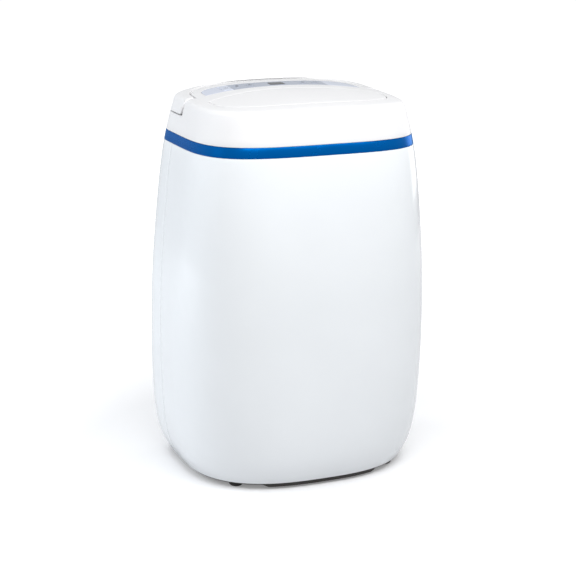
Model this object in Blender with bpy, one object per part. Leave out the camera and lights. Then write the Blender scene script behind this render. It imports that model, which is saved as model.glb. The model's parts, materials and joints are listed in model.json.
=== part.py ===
"""Compact compressor dehumidifier: shells, top cover, carry handle, tank, filter, fan and coils.

Metres, +Z up. The origin is on the floor under the middle of the casing, the front faces -Y.
"""

import math

import bmesh
import bpy
from mathutils import Vector

# ---- Casing ----
SHELL_BOTTOM = 0.008
BAND_BOTTOM = 0.4190
BAND_TOP = 0.4315
SHOULDER_RADIUS = 0.006
WALL = 0.0028
GAP = 0.0003
WIDEST_Y = 0.0292  # the plane where the casing is widest
SEAM_Y = 0.0454  # front and rear shells meet here
REAR_EXPONENT = 6.4
CORNER_WEIGHT = 0.06  # outline length that one radian of turn counts for when spacing points
# Half width of the casing at each height, from the foot of the shell to the shoulder.
WIDTH_STATIONS = (
    (0.000, 0.1405),
    (0.030, 0.1547),
    (0.060, 0.1608),
    (0.100, 0.1634),
    (0.160, 0.1644),
    (0.240, 0.1625),
    (0.320, 0.1567),
    (0.400, 0.1481),
    (0.440, 0.1407),
    (0.470, 0.1330),
    (0.490, 0.1265),
)

# ---- Top surface, which falls from the rear rim to the front edge ----
TOP_FRONT_Y = -0.098
TOP_FRONT_Z = 0.4735
TOP_DEPTH = 0.192
TOP_RISE = 0.0135
TOP_SIDE_DROP = 0.0065
TOP_SIDE_X = 0.105

# ---- Carry handle and its channel ----
CHANNEL_FRONT_Y = 0.0262
CHANNEL_FLOOR = 0.4530
ISLAND = (0.1165, 0.0550)  # half width and rear depth of the plateau inside the handle
HANDLE_INNER = (0.1180, 0.0636)
PLATEAU_EXPONENT = 4.0
HANDLE_BOTTOM = 0.4555
HANDLE_FRONT_Y = 0.0300
HANDLE_PIVOT = Vector((0.0, 0.0400, 0.4655))
HANDLE_NOSE = 0.0118  # reach of each arm's lower front corner from the pivot
HANDLE_BROW = 0.0134  # reach of its upper front corner
PIN_RADIUS = 0.0025

# ---- Outlet flap ----
FLAP_HALF_WIDTH = 0.110
FLAP_TIP_Y = -0.005
FLAP_FRONT_DEPTH = 0.061
FLAP_REAR_DEPTH = 0.032
FLAP_THICKNESS = 0.0025
FLAP_PIVOT = Vector((0.0, -0.0130, 0.4700))
FLAP_CLEARANCE = 0.0010
FLAP_LIP = 0.0014  # the cover is this thick round the flap, whose rear edge swings through below
FLAP_UNDERCUT = 0.0030
COLLAR_REACH = 0.0054
COLLAR_BOTTOM = 0.4600
LEAST_LEVEL = 0.1  # a patch takes a larger number as a level, not as a height above the top surface

# ---- Control fascia, display and keys ----
FASCIA_HALF_WIDTH = 0.104
FASCIA_END_Y = 0.031
FASCIA_FRONT_BOW = 0.0155
FASCIA_REAR_DEPTH = 0.0405
FASCIA_THICKNESS = 0.003
KEY_CLEARANCE = 0.0004
ROUND_KEYS = {
    "mode_key": -0.0535,
    "fan_speed_key": -0.0360,
    "humidity_key": 0.0360,
    "timer_key": 0.0535,
}
ROUND_KEY_Y = 0.0590
ROUND_KEY_RADIUS = 0.0046
POWER_KEY = (-0.0765, -0.0625)
DISPLAY = ((-0.0100, 0.0100), (0.0525, 0.0665))

# ---- Rear openings ----
TANK_OPENING = (0.1275, 0.0355, 0.1965)  # half width, bottom and top
FILTER_OPENING = (0.1105, 0.2315, 0.4005)
GLAND_PLACE = Vector((-0.090, 0.0, 0.022))
DRAIN_PLACE = Vector((0.085, 0.0, 0.2105))

# ---- Base and feet ----
PAN_BOTTOM = 0.0090
PAN_TOP = 0.0125
SKIRT_BOTTOM = 0.0030
FEET = {
    "foot_front_left": (-0.1022, -0.0620),
    "foot_front_right": (0.1022, -0.0620),
    "foot_rear_left": (-0.116, 0.0900),
    "foot_rear_right": (0.116, 0.0900),
}
FOOT_RADIUS = 0.010
FOOT_RECESS_RADIUS = 0.0165
SCREWS = {
    "base_screw_front_left": (-0.055, -0.0880),
    "base_screw_front_right": (0.055, -0.0880),
    "base_screw_rear_left": (-0.060, 0.1030),
    "base_screw_rear_right": (0.060, 0.1030),
}
SCREW_RADIUS = 0.0018

# ---- Inside ----
FAN_AXIS_Z = 0.315
FAN_RADIUS = 0.070
FAN_BLADES = 16
SHAFT_RADIUS = 0.004
HOUSING = (-0.0500, -0.0065)  # front and rear of the fan housing
HOUSING_TOP = 0.4045
DUCT_TOP = 0.4420
COIL_HALF_WIDTH = 0.100
COIL_HEIGHTS = (0.2260, 0.4020)
CONDENSER_Y = (0.0200, 0.0450)
EVAPORATOR_Y = (0.0600, 0.0850)
COMPRESSOR_PLACE = Vector((-0.060, -0.054, 0.0))
COMPRESSOR_RADIUS = 0.046
COMPRESSOR_LUG_RADIUS = 0.046
COMPRESSOR_LUGS = 3
BAY = ((-0.1300, -0.0045, 0.0335), (0.1300, 0.1030, 0.1985))
BAY_WALL = 0.0025
TANK = ((-0.1245, 0.0010, 0.0380), (0.1245, 0.1080, 0.1860))
TANK_WALL = 0.0020
TRAY = ((-0.1080, 0.0120, 0.2010), (0.1080, 0.1010, 0.2210))
SPOUT_PLACE = Vector((0.0, 0.0600, 0.0))
FLOAT_PIVOT = Vector((0.0750, 0.0140, 0.1680))

FINISHES = {
    # name: (colour, roughness, metallic)
    "gloss_white": ((0.90, 0.92, 0.95, 1.0), 0.15, 0.0),
    "satin_white": ((0.88, 0.87, 0.87, 1.0), 0.40, 0.0),
    "gloss_blue": ((0.0, 0.09, 0.37, 1.0), 0.15, 0.0),
    "lavender": ((0.45, 0.52, 0.68, 1.0), 0.12, 0.0),
    "smoked": ((0.02, 0.02, 0.03, 1.0), 0.08, 0.0),
    "grey_plastic": ((0.35, 0.36, 0.38, 1.0), 0.55, 0.0),
    "dark_plastic": ((0.03, 0.03, 0.03, 1.0), 0.50, 0.0),
    "rubber": ((0.02, 0.018, 0.015, 1.0), 0.80, 0.0),
    "clear_plastic": ((0.55, 0.65, 0.72, 1.0), 0.10, 0.0),
    "galvanised": ((0.55, 0.56, 0.58, 1.0), 0.40, 0.9),
    "aluminium": ((0.75, 0.76, 0.78, 1.0), 0.35, 1.0),
    "copper": ((0.72, 0.35, 0.20, 1.0), 0.30, 1.0),
    "black_enamel": ((0.015, 0.015, 0.016, 1.0), 0.35, 0.0),
    "circuit_green": ((0.02, 0.18, 0.06, 1.0), 0.45, 0.0),
    "mesh_grey": ((0.16, 0.17, 0.19, 1.0), 0.70, 0.0),
}


# ---------------------------------------------------------------- scene helpers


def clear_scene():
    for obj in list(bpy.data.objects):
        bpy.data.objects.remove(obj, do_unlink=True)


def finish_material(name, finish):
    colour, roughness, metallic = FINISHES[finish]
    material = bpy.data.materials.new(name)
    material.use_nodes = True
    shader = material.node_tree.nodes["Principled BSDF"]
    shader.inputs["Base Color"].default_value = colour
    shader.inputs["Roughness"].default_value = roughness
    shader.inputs["Metallic"].default_value = metallic
    return material


def mesh_object(name, points, faces, finish=None, origin=(0.0, 0.0, 0.0)):
    """A closed mesh from world points, with its object origin where asked and its faces out."""
    origin = Vector(origin)
    mesh = bpy.data.meshes.new(name)
    mesh.from_pydata([Vector(p) - origin for p in points], [], faces)
    bm = bmesh.new()
    bm.from_mesh(mesh)
    bmesh.ops.recalc_face_normals(bm, faces=bm.faces)
    bmesh.ops.triangulate(bm, faces=bm.faces)
    bm.to_mesh(mesh)
    bm.free()
    mesh.shade_smooth()
    mesh.set_sharp_from_angle(angle=math.radians(35))
    obj = bpy.data.objects.new(name, mesh)
    obj.location = origin
    bpy.context.scene.collection.objects.link(obj)
    if finish:
        mesh.materials.append(finish_material(name, finish))
    return obj


def boolean(obj, other, operation="DIFFERENCE"):
    """Cuts or joins a helper, which stays in the scene as a wire guide."""
    other.hide_render = True
    other.display_type = "WIRE"
    modifier = obj.modifiers.new(other.name, "BOOLEAN")
    modifier.operation = operation
    modifier.solver = "EXACT"
    modifier.object = other


# ---------------------------------------------------------------- solids


def loft_faces(ring_count, ring_size, closed=False):
    """Quads between neighbouring rings, and from the last ring to the first when closed."""
    faces = []
    for i in range(ring_count if closed else ring_count - 1):
        a, b = i * ring_size, ((i + 1) % ring_count) * ring_size
        for k in range(ring_size):
            n = (k + 1) % ring_size
            faces.append((a + k, a + n, b + n, b + k))
    return faces


def loft(name, rings, finish=None, origin=(0.0, 0.0, 0.0), closed=False):
    """A solid through rings of equal size, capped at both ends or closed on itself."""
    size = len(rings[0])
    points = [p for ring in rings for p in ring]
    faces = loft_faces(len(rings), size, closed)
    if not closed:
        faces.append(tuple(range(size)))
        faces.append(tuple(range(len(points) - size, len(points))))
    return mesh_object(name, points, faces, finish, origin)


def domed_loft(name, rings, first, last, finish=None):
    """A solid through rings, closed by fans to one point at each end."""
    size = len(rings[0])
    points = [p for ring in rings for p in ring] + [first, last]
    faces = loft_faces(len(rings), size)
    tail = (len(rings) - 1) * size
    for k in range(size):
        n = (k + 1) % size
        faces.append((n, k, len(points) - 2))
        faces.append((tail + k, tail + n, len(points) - 1))
    return mesh_object(name, points, faces, finish)


def grid_solid(name, outer, inner, finish=None, origin=(0.0, 0.0, 0.0)):
    """A wall between two grids of points with the same rows and columns."""
    rows, columns = len(outer), len(outer[0])
    points = [p for row in outer for p in row] + [p for row in inner for p in row]
    half = rows * columns
    faces = []
    for r in range(rows - 1):
        for c in range(columns - 1):
            a = r * columns + c
            quad = (a, a + 1, a + columns + 1, a + columns)
            faces.append(quad)
            faces.append(tuple(half + i for i in reversed(quad)))
    edge = [(0, c) for c in range(columns)]
    edge += [(r, columns - 1) for r in range(1, rows)]
    edge += [(rows - 1, c) for c in range(columns - 2, -1, -1)]
    edge += [(r, 0) for r in range(rows - 2, 0, -1)]
    border = [r * columns + c for r, c in edge]
    for a, b in zip(border, border[1:] + border[:1]):
        faces.append((b, a, half + a, half + b))
    return mesh_object(name, points, faces, finish, origin)


def box(name, low, high, finish=None, origin=(0.0, 0.0, 0.0)):
    (x0, y0, z0), (x1, y1, z1) = low, high
    rings = [[(x0, y0, z), (x1, y0, z), (x1, y1, z), (x0, y1, z)] for z in (z0, z1)]
    return loft(name, rings, finish, origin)


def across(axis):
    """Two unit vectors at right angles to an axis."""
    axis = axis.normalized()
    helper = Vector((0, 0, 1)) if abs(axis.z) < 0.9 else Vector((1, 0, 0))
    side = axis.cross(helper).normalized()
    return side, axis.cross(side)


def circle(centre, axis, radius, segments):
    side, up = across(axis)
    turn = 2 * math.pi / segments
    return [
        centre + side * (radius * math.cos(k * turn)) + up * (radius * math.sin(k * turn))
        for k in range(segments)
    ]


def rod(name, start, end, radius, finish=None, segments=16, origin=(0.0, 0.0, 0.0)):
    start, end = Vector(start), Vector(end)
    rings = [circle(p, end - start, radius, segments) for p in (start, end)]
    return loft(name, rings, finish, origin)


def turned(name, base, axis, profile, finish=None, segments=24, origin=(0.0, 0.0, 0.0), ring=False):
    """A turned solid: profile is (radius, distance along the axis). A ring closes on itself."""
    base, axis = Vector(base), Vector(axis)
    rings = [circle(base + axis * along, axis, radius, segments) for radius, along in profile]
    return loft(name, rings, finish, origin, closed=ring)


def tube(name, path, radius, finish, segments=8):
    """A round pipe through a list of points."""
    path = [Vector(p) for p in path]
    rings = []
    side = None
    for i, point in enumerate(path):
        along = (path[min(i + 1, len(path) - 1)] - path[max(i - 1, 0)]).normalized()
        side = across(along)[0] if side is None else (side - along * side.dot(along)).normalized()
        up = along.cross(side)
        turn = 2 * math.pi / segments
        rings.append(
            [point + side * radius * math.cos(k * turn) + up * radius * math.sin(k * turn)
             for k in range(segments)]
        )
    return loft(name, rings, finish)


def rounded_path(corners, bend, steps=4):
    """Points through the corners of a pipe run, with each inner corner turned into an arc."""
    corners = [Vector(c) for c in corners]
    path = [corners[0]]
    for before, corner, after in zip(corners, corners[1:], corners[2:]):
        start = corner + (before - corner).normalized() * bend
        end = corner + (after - corner).normalized() * bend
        for k in range(steps + 1):
            t = k / steps
            path.append(start * (1 - t) ** 2 + corner * (2 * t * (1 - t)) + end * t ** 2)
    path.append(corners[-1])
    return path


def rounded_rectangle(low, high, radius, steps=4):
    """Points of a rectangle in plan with round corners."""
    points = []
    corners = ((high[0], high[1], 0), (low[0], high[1], 1), (low[0], low[1], 2), (high[0], low[1], 3))
    for x, y, quarter in corners:
        cx = x - math.copysign(radius, x - (low[0] + high[0]) / 2)
        cy = y - math.copysign(radius, y - (low[1] + high[1]) / 2)
        for k in range(steps + 1):
            angle = math.pi / 2 * (quarter + k / steps)
            points.append((cx + radius * math.cos(angle), cy + radius * math.sin(angle)))
    return points


def tub(name, low, high, wall, radius, finish, origin=(0.0, 0.0, 0.0)):
    """An open-topped vessel with round upright corners."""
    outer = rounded_rectangle(low, high, radius)
    inner = rounded_rectangle(
        (low[0] + wall, low[1] + wall), (high[0] - wall, high[1] - wall), radius - wall
    )
    levels = ((outer, low[2]), (outer, high[2]), (inner, high[2]), (inner, low[2] + wall))
    rings = [[(x, y, z) for x, y in outline] for outline, z in levels]
    return loft(name, rings, finish, origin)


# ---------------------------------------------------------------- casing surface


def half_width(z):
    """Half width of the casing at a height, smooth through the stations."""
    stations = WIDTH_STATIONS
    i = max(k for k in range(len(stations) - 1) if stations[k][0] <= z or k == 0)
    slopes = []
    for k in (i, i + 1):
        before, after = stations[max(k - 1, 0)], stations[min(k + 1, len(stations) - 1)]
        slopes.append((after[1] - before[1]) / (after[0] - before[0]))
    (z0, w0), (z1, w1) = stations[i], stations[i + 1]
    span = z1 - z0
    t = (z - z0) / span
    return (
        w0 * (2 * t**3 - 3 * t**2 + 1)
        + slopes[0] * span * (t**3 - 2 * t**2 + t)
        + w1 * (3 * t**2 - 2 * t**3)
        + slopes[1] * span * (t**3 - t**2)
    )


def outline_point(angle, z, inset=0.0):
    """Plan position on the casing at a height, moved in from the surface by inset."""
    a = half_width(z)
    if math.sin(angle) < 0:
        b, n = a * (0.908 + 0.100 * z), 2.64 + 2.49 * z
    else:
        b, n = a * (0.582 - 0.098 * z), REAR_EXPONENT
    c, s = math.cos(angle), math.sin(angle)
    radius = (abs(c / a) ** n + abs(s / b) ** n) ** (-1 / n)
    x, y = radius * c, radius * s
    normal = Vector(
        (math.copysign(abs(x / a) ** (n - 1) / a, x), math.copysign(abs(y / b) ** (n - 1) / b, y))
    ).normalized()
    return x - inset * normal.x, WIDEST_Y + y - inset * normal.y


def even_shares(start, end, count, z=0.30, samples=720):
    """Shares from 0 to 1 of an angle span, evenly spaced along the outline and closer at corners."""
    angles = [start + (end - start) * i / samples for i in range(samples + 1)]
    points = [Vector(outline_point(a, z)) for a in angles]
    lengths = [0.0]
    heading = points[1] - points[0]
    for before, after in zip(points, points[1:]):
        step = after - before
        turn = abs(step.angle_signed(heading, 0.0))
        lengths.append(lengths[-1] + step.length + CORNER_WEIGHT * turn)
        heading = step
    shares = []
    i = 0
    for k in range(count):
        wanted = lengths[-1] * k / (count - 1)
        while i < samples - 1 and lengths[i + 1] < wanted:
            i += 1
        part = (wanted - lengths[i]) / (lengths[i + 1] - lengths[i])
        shares.append((i + part) / samples)
    return shares


def casing_ring(z, inset, angles):
    return [(*outline_point(a, z, inset), z) for a in angles]


def top_height(x, y):
    """Height of the top surface."""
    share = (y - TOP_FRONT_Y) / TOP_DEPTH
    drop = TOP_SIDE_DROP * abs(x / TOP_SIDE_X) ** 2.4 * (0.35 + 0.65 * share)
    return TOP_FRONT_Z + TOP_RISE * share - drop


def seam_angle(z, y):
    """Angle at which the casing's right side crosses a plane of constant y."""
    return math.atan2(y - WIDEST_Y, half_width(z))


def casing_wall(name, seam_y, through_front, columns, heights):
    """Half of the casing, from one side seam round to the other."""
    if through_front:
        shares = even_shares(-math.pi, 0.0, columns)
    else:
        shares = even_shares(0.15, math.pi - 0.15, columns)
    grids = []
    for inset in (0.0, WALL):
        rows = []
        for z in heights:
            edge = seam_angle(z, seam_y)
            start, end = (-math.pi - edge, edge) if through_front else (edge, math.pi - edge)
            angles = [start + (end - start) * s for s in shares]
            rows.append(casing_ring(z, inset, angles))
        grids.append(rows)
    return grid_solid(name, *grids, finish="gloss_white")


SHELL_HEIGHTS = (0.008, 0.022, 0.045, 0.085, 0.150, 0.225, 0.295, 0.360, 0.4187)


def wall_y(x, z, outward, inset):
    """The y of the casing's front (-1) or rear (+1) surface above a plan position."""
    angle = outward * math.pi / 2
    for _ in range(30):
        px, py = outline_point(angle, z, inset)
        angle += (px - x) * outward / max(abs(py - WIDEST_Y), 0.05)
    return outline_point(angle, z, inset)[1]


def add_screw_tabs(shell, outward):
    for name, (x, y) in SCREWS.items():
        if (y > SEAM_Y) != (outward > 0):
            continue
        level = PAN_TOP + 0.0025
        end_y = wall_y(x, level, outward, 0.0015)
        low_y, high_y = sorted((y - outward * 0.006, end_y))
        tab = box(
            name + "_tab", (x - 0.005, low_y, PAN_TOP + GAP), (x + 0.005, high_y, PAN_TOP + 0.005)
        )
        boolean(shell, tab, "UNION")
        hole = rod(name + "_hole", (x, y, 0.0), (x, y, 0.030), SCREW_RADIUS + GAP, segments=8)
        boolean(shell, hole)


def make_front_shell():
    shell = casing_wall("front_shell", SEAM_Y - GAP / 2, True, 33, SHELL_HEIGHTS)
    add_screw_tabs(shell, -1)


def make_rear_shell():
    shell = casing_wall("rear_shell", SEAM_Y + GAP / 2, False, 21, SHELL_HEIGHTS)
    for name, (half, low, high) in (("tank_cut", TANK_OPENING), ("filter_cut", FILTER_OPENING)):
        boolean(shell, box(name, (-half, 0.09, low), (half, 0.16, high)))
    gland_cut = rod(
        "gland_cut", GLAND_PLACE + Vector((0, 0.09, 0)), GLAND_PLACE + Vector((0, 0.15, 0)), 0.0073
    )
    boolean(shell, gland_cut)
    drain_cut = rod(
        "drain_cut", DRAIN_PLACE + Vector((0, 0.09, 0)), DRAIN_PLACE + Vector((0, 0.15, 0)), 0.0085
    )
    boolean(shell, drain_cut)
    add_screw_tabs(shell, 1)


def full_angles(count):
    """Angles once round the casing from the middle of the back, evenly spaced and mirrored."""
    half = count // 2
    shares = even_shares(math.pi / 2, 3 * math.pi / 2, half + 1)
    left = [math.pi / 2 + math.pi * s for s in shares]
    right = [math.pi - a for a in left[-2:0:-1]]
    return left + right


def make_trim_band():
    angles = full_angles(40)
    low, high = BAND_BOTTOM, BAND_TOP
    path = ((low, 0.0), (high, 0.0), (high, 0.0026), (low, 0.0026))
    loft("trim_band", [casing_ring(z, d, angles) for z, d in path], "gloss_blue", closed=True)


# ---------------------------------------------------------------- top cover


def shoulder_point(angle, turn, depth=0.0):
    """A point on the round shoulder: turn 0 is the side, turn 1 the top. depth goes inwards."""
    bend = turn * math.pi / 2
    inner = outline_point(angle, 0.470, SHOULDER_RADIUS)
    crown = top_height(*inner)
    reach = SHOULDER_RADIUS - depth
    z = crown - SHOULDER_RADIUS + reach * math.sin(bend)
    inset = SHOULDER_RADIUS - reach * math.cos(bend)
    return (*outline_point(angle, z, inset), z)


def cover_rings(angles, depth, bottom):
    """Rings of the cover's skin from its foot to the middle of the top, at a depth below the skin."""
    rings = [casing_ring(z, depth, angles) for z in (bottom, 0.448)]
    for turn in (0.0, 0.5, 1.0):
        rings.append([shoulder_point(a, turn, depth) for a in angles])
    rim = [outline_point(a, 0.470, SHOULDER_RADIUS) for a in angles]
    for share in (0.72, 0.38):
        ring = [(x * share, WIDEST_Y - 0.02 + (y - WIDEST_Y + 0.02) * share) for x, y in rim]
        rings.append([(x, y, top_height(x, y) - depth) for x, y in ring])
    return rings


def plateau_point(angle, half_x, depth_y):
    """The plan point of the island's or handle's inner edge in one direction."""
    c, s = math.cos(angle), math.sin(angle)
    n = PLATEAU_EXPONENT
    radius = (abs(c / half_x) ** n + abs(s / depth_y) ** n) ** (-1 / n)
    return radius * c, WIDEST_Y + radius * s


def rear_stations(front_y, count):
    """Angles on the casing, and directions from its middle, from one arm round the back."""
    edge = math.atan2(front_y - WIDEST_Y, half_width(0.46))
    stations = []
    for share in even_shares(edge, math.pi - edge, count, z=0.46):
        angle = edge + (math.pi - 2 * edge) * share
        x, y = outline_point(angle, 0.470)
        stations.append((angle, math.atan2(y - WIDEST_Y, x)))
    return stations


def channel_walls():
    """The floor and inner wall of the handle's channel, before the channel is cut."""
    wall = 0.0025
    floor = CHANNEL_FLOOR - wall
    sections = []
    for angle, direction in rear_stations(CHANNEL_FRONT_Y - wall, 25):
        x, y = plateau_point(direction, ISLAND[0] - wall, ISLAND[1] - wall)
        rim = outline_point(angle, 0.470, 0.0034)
        sections.append(
            (
                (*outline_point(angle, floor, 0.0015), floor),
                (*outline_point(angle, 0.460, 0.0015), 0.460),
                (*rim, shoulder_point(angle, 1.0)[2] - 0.0016),
                (x, y, top_height(x, y) - 0.0012),
                (x, y, floor),
            )
        )
    return loft("channel_walls", sections)


def channel_cut():
    island = [plateau_point(math.pi * (1 - k / 20), *ISLAND) for k in range(21)]
    outline = [(-0.2, CHANNEL_FRONT_Y), (island[0][0], CHANNEL_FRONT_Y)] + island
    outline += [(island[-1][0], CHANNEL_FRONT_Y), (0.2, CHANNEL_FRONT_Y), (0.2, 0.2), (-0.2, 0.2)]
    return loft("channel_cut", [[(x, y, z) for x, y in outline] for z in (CHANNEL_FLOOR, 0.52)])


def make_top_cover():
    angles = full_angles(40)
    outer = cover_rings(angles, 0.0, BAND_TOP + GAP)
    inner = cover_rings(angles, WALL - 0.0002, 0.437)
    skirt = [
        casing_ring(z, d, angles)
        for z, d in ((0.437, 0.0062), (0.408, 0.0062), (0.408, 0.0046), (BAND_TOP + GAP, 0.0046))
    ]
    middle = Vector((0.0, WIDEST_Y - 0.02, 0.0))
    crown = top_height(middle.x, middle.y)
    rings = list(reversed(inner)) + skirt + outer
    ends = [(middle.x, middle.y, crown - WALL + 0.0002), (middle.x, middle.y, crown)]
    cover = domed_loft("top_cover", rings, *ends, finish="satin_white")
    boolean(cover, channel_walls(), "UNION")
    collar = flap_patch("flap_collar", COLLAR_REACH, COLLAR_BOTTOM, -0.0012)
    boolean(cover, collar, "UNION")
    boolean(cover, channel_cut())
    boolean(cover, flap_patch("flap_cut", FLAP_CLEARANCE, 0.44, 0.03))
    boolean(cover, flap_patch("flap_undercut", FLAP_UNDERCUT, 0.44, -FLAP_LIP))
    boolean(cover, fascia_patch("fascia_cut", GAP, -0.012, 0.02))
    pins = rod("pin_cut", (-0.2, *HANDLE_PIVOT[1:]), (0.2, *HANDLE_PIVOT[1:]), PIN_RADIUS + GAP)
    boolean(cover, pins)
    flap_bore = rod("flap_bore", (-0.1170, *FLAP_PIVOT[1:]), (0.1170, *FLAP_PIVOT[1:]), 0.0024)
    boolean(cover, flap_bore)


# ---------------------------------------------------------------- pieces set into the top


def patch(name, columns, front, rear, low, high, rows=4, finish=None, origin=(0.0, 0.0, 0.0)):
    """A piece of the top surface between two edges. low and high are heights above it, or levels."""
    grids = []
    for offset in (high, low):
        grid = []
        for j in range(rows + 1):
            row = []
            for x in columns:
                y = front(x) + (rear(x) - front(x)) * j / rows
                z = offset if offset > LEAST_LEVEL else top_height(x, y) + offset
                row.append((x, y, z))
            grid.append(row)
        grids.append(grid)
    return grid_solid(name, *grids, finish=finish, origin=origin)


def spread(half, count, centre=0.0):
    """Columns across a piece, closer together near its ends."""
    return [centre - half * math.cos(math.pi * k / (count - 1)) for k in range(count)]


def super_height(x, half, exponent):
    return max(1 - abs(x / half) ** exponent, 0.0) ** (1 / exponent)


def flap_patch(name, grow, low, high, finish=None, origin=(0.0, 0.0, 0.0)):
    half = FLAP_HALF_WIDTH + grow

    def front(x):
        return FLAP_TIP_Y - (FLAP_FRONT_DEPTH + grow) * super_height(x, half, 3.5)

    def rear(x):
        return FLAP_TIP_Y + (FLAP_REAR_DEPTH + grow) * (1 - abs(x / half) ** 2.2)

    return patch(name, spread(half * 0.998, 19), front, rear, low, high, 3, finish, origin)


def fascia_patch(name, grow, low, high, finish=None):
    half = FASCIA_HALF_WIDTH + grow

    def front(x):
        return FASCIA_END_Y - grow + FASCIA_FRONT_BOW * (1 - (x / half) ** 2)

    def rear(x):
        return FASCIA_END_Y + (FASCIA_REAR_DEPTH + grow) * super_height(x, half, 4.5)

    return patch(name, spread(half * 0.995, 16), front, rear, low, high, 1, finish)


def fascia_edges(x):
    front = FASCIA_END_Y + FASCIA_FRONT_BOW * (1 - (x / FASCIA_HALF_WIDTH) ** 2)
    rear = FASCIA_END_Y + FASCIA_REAR_DEPTH * super_height(x, FASCIA_HALF_WIDTH, 4.5)
    return front, rear


def round_patch(name, cx, cy, radius, low, high, finish=None, origin=(0.0, 0.0, 0.0)):
    def front(x):
        return cy - math.sqrt(max(radius**2 - (x - cx) ** 2, 0.0))

    def rear(x):
        return cy + math.sqrt(max(radius**2 - (x - cx) ** 2, 0.0))

    return patch(name, spread(radius * 0.95, 6, cx), front, rear, low, high, 2, finish, origin)


def band_patch(name, x_range, y_range, low, high, finish=None, origin=(0.0, 0.0, 0.0)):
    columns = [x_range[0] + (x_range[1] - x_range[0]) * k / 3 for k in range(4)]
    return patch(
        name, columns, lambda x: y_range[0], lambda x: y_range[1], low, high, 1, finish, origin
    )


def make_fascia():
    fascia = fascia_patch("control_fascia", 0.0, -FASCIA_THICKNESS, 0.0, "lavender")
    deep, proud = -0.01, 0.01
    for name, x in ROUND_KEYS.items():
        cut = round_patch(
            name + "_cut", x, ROUND_KEY_Y, ROUND_KEY_RADIUS + KEY_CLEARANCE, deep, proud
        )
        boolean(fascia, cut)
    (x0, x1), (y0, y1) = DISPLAY
    display_cut = band_patch(
        "display_cut", (x0 - GAP, x1 + GAP), (y0 - GAP, y1 + GAP), deep, proud
    )
    boolean(fascia, display_cut)
    y0, y1 = power_key_depth()
    power_cut = band_patch(
        "power_key_cut",
        (POWER_KEY[0] - KEY_CLEARANCE, POWER_KEY[1] + KEY_CLEARANCE),
        (y0 - KEY_CLEARANCE, y1 + KEY_CLEARANCE),
        deep,
        proud,
    )
    boolean(fascia, power_cut)
    band_patch("display_window", *DISPLAY, -FASCIA_THICKNESS, 0.0001, "smoked")


def power_key_depth():
    """The power key spans the fascia, less a margin at its front and rear edges."""
    front = max(fascia_edges(x)[0] for x in POWER_KEY)
    rear = min(fascia_edges(x)[1] for x in POWER_KEY)
    return front + 0.0022, rear - 0.0022


def make_keys():
    """Each key is a cap with a wider flange under the fascia, which keeps it in."""
    cap_low, flange_low, flange_high = -0.0036, -0.0052, -FASCIA_THICKNESS - GAP
    for name, x in ROUND_KEYS.items():
        origin = (x, ROUND_KEY_Y, top_height(x, ROUND_KEY_Y))
        key = round_patch(
            name, x, ROUND_KEY_Y, ROUND_KEY_RADIUS, cap_low, 0.0003, "lavender", origin
        )
        flange = round_patch(
            name + "_flange", x, ROUND_KEY_Y, ROUND_KEY_RADIUS + 0.0012, flange_low, flange_high
        )
        boolean(key, flange, "UNION")
    y0, y1 = power_key_depth()
    middle = (sum(POWER_KEY) / 2, (y0 + y1) / 2)
    origin = (*middle, top_height(*middle))
    key = band_patch("power_key", POWER_KEY, (y0, y1), cap_low, 0.0003, "lavender", origin)
    flange = band_patch(
        "power_key_flange",
        (POWER_KEY[0] - 0.0012, POWER_KEY[1] + 0.0012),
        (y0 - 0.0012, y1 + 0.0012),
        flange_low,
        flange_high,
    )
    boolean(key, flange, "UNION")


def make_outlet_flap():
    """The flap closes the air outlet and turns on two stubs near its ends."""
    flap = flap_patch("outlet_flap", 0.0, -FLAP_THICKNESS, 0.0, "satin_white", FLAP_PIVOT)
    y, z = FLAP_PIVOT.y, FLAP_PIVOT.z
    for side in (-1, 1):
        label = "left" if side < 0 else "right"
        xs = sorted((side * 0.1000, side * 0.1030))
        lug = box(
            f"flap_lug_{label}", (xs[0], y - 0.004, z - 0.003), (xs[1], y + 0.004, z + 0.0045)
        )
        boolean(flap, lug, "UNION")
        stub = rod(
            f"flap_stub_{label}", (side * 0.1015, y, z), (side * 0.1140, y, z), 0.0021, segments=8
        )
        boolean(flap, stub, "UNION")


def handle_section(angle, inner_xy):
    """One cross-section of the bail: foot, outer side, round shoulder, top and inner side."""
    section = [(*outline_point(angle, HANDLE_BOTTOM, 0.0), HANDLE_BOTTOM)]
    section.append((*outline_point(angle, 0.460, 0.0), 0.460))
    for turn in (0.0, 0.5, 1.0):
        section.append(shoulder_point(angle, turn))
    x, y = inner_xy
    section.append((x, y, top_height(x, y)))
    section.append((x, y, HANDLE_BOTTOM))
    return section


def make_carry_handle():
    """A bail that lies flush round the rear rim and turns up about its two front ends."""
    sections = [
        handle_section(angle, plateau_point(direction, *HANDLE_INNER))
        for angle, direction in rear_stations(HANDLE_FRONT_Y, 25)
    ]
    handle = loft("carry_handle", sections, "satin_white", HANDLE_PIVOT)
    nose = nose_cut()
    boolean(handle, nose)
    bore = rod(
        "handle_bore", (-0.1262, *HANDLE_PIVOT[1:]), (0.1262, *HANDLE_PIVOT[1:]), PIN_RADIUS + GAP
    )
    boolean(handle, bore)


def nose_cut():
    """Rounds the front corners of each arm, so that it swings clear of the channel."""
    y, z = HANDLE_PIVOT.y, HANDLE_PIVOT.z
    far = 0.020
    profile = []
    for reach, start, end in ((HANDLE_BROW, 110, 180), (HANDLE_NOSE, 185, 260)):
        for k in range(6):
            angle = math.radians(start + (end - start) * k / 5)
            profile.append((y + reach * math.cos(angle), z + reach * math.sin(angle)))
    profile += [(y - 0.001, z - far), (y - far, z - far), (y - far, z + far), (profile[0][0], z + far)]
    return loft("nose_cut", [[(x, py, pz) for py, pz in profile] for x in (-0.2, 0.2)])


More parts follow.
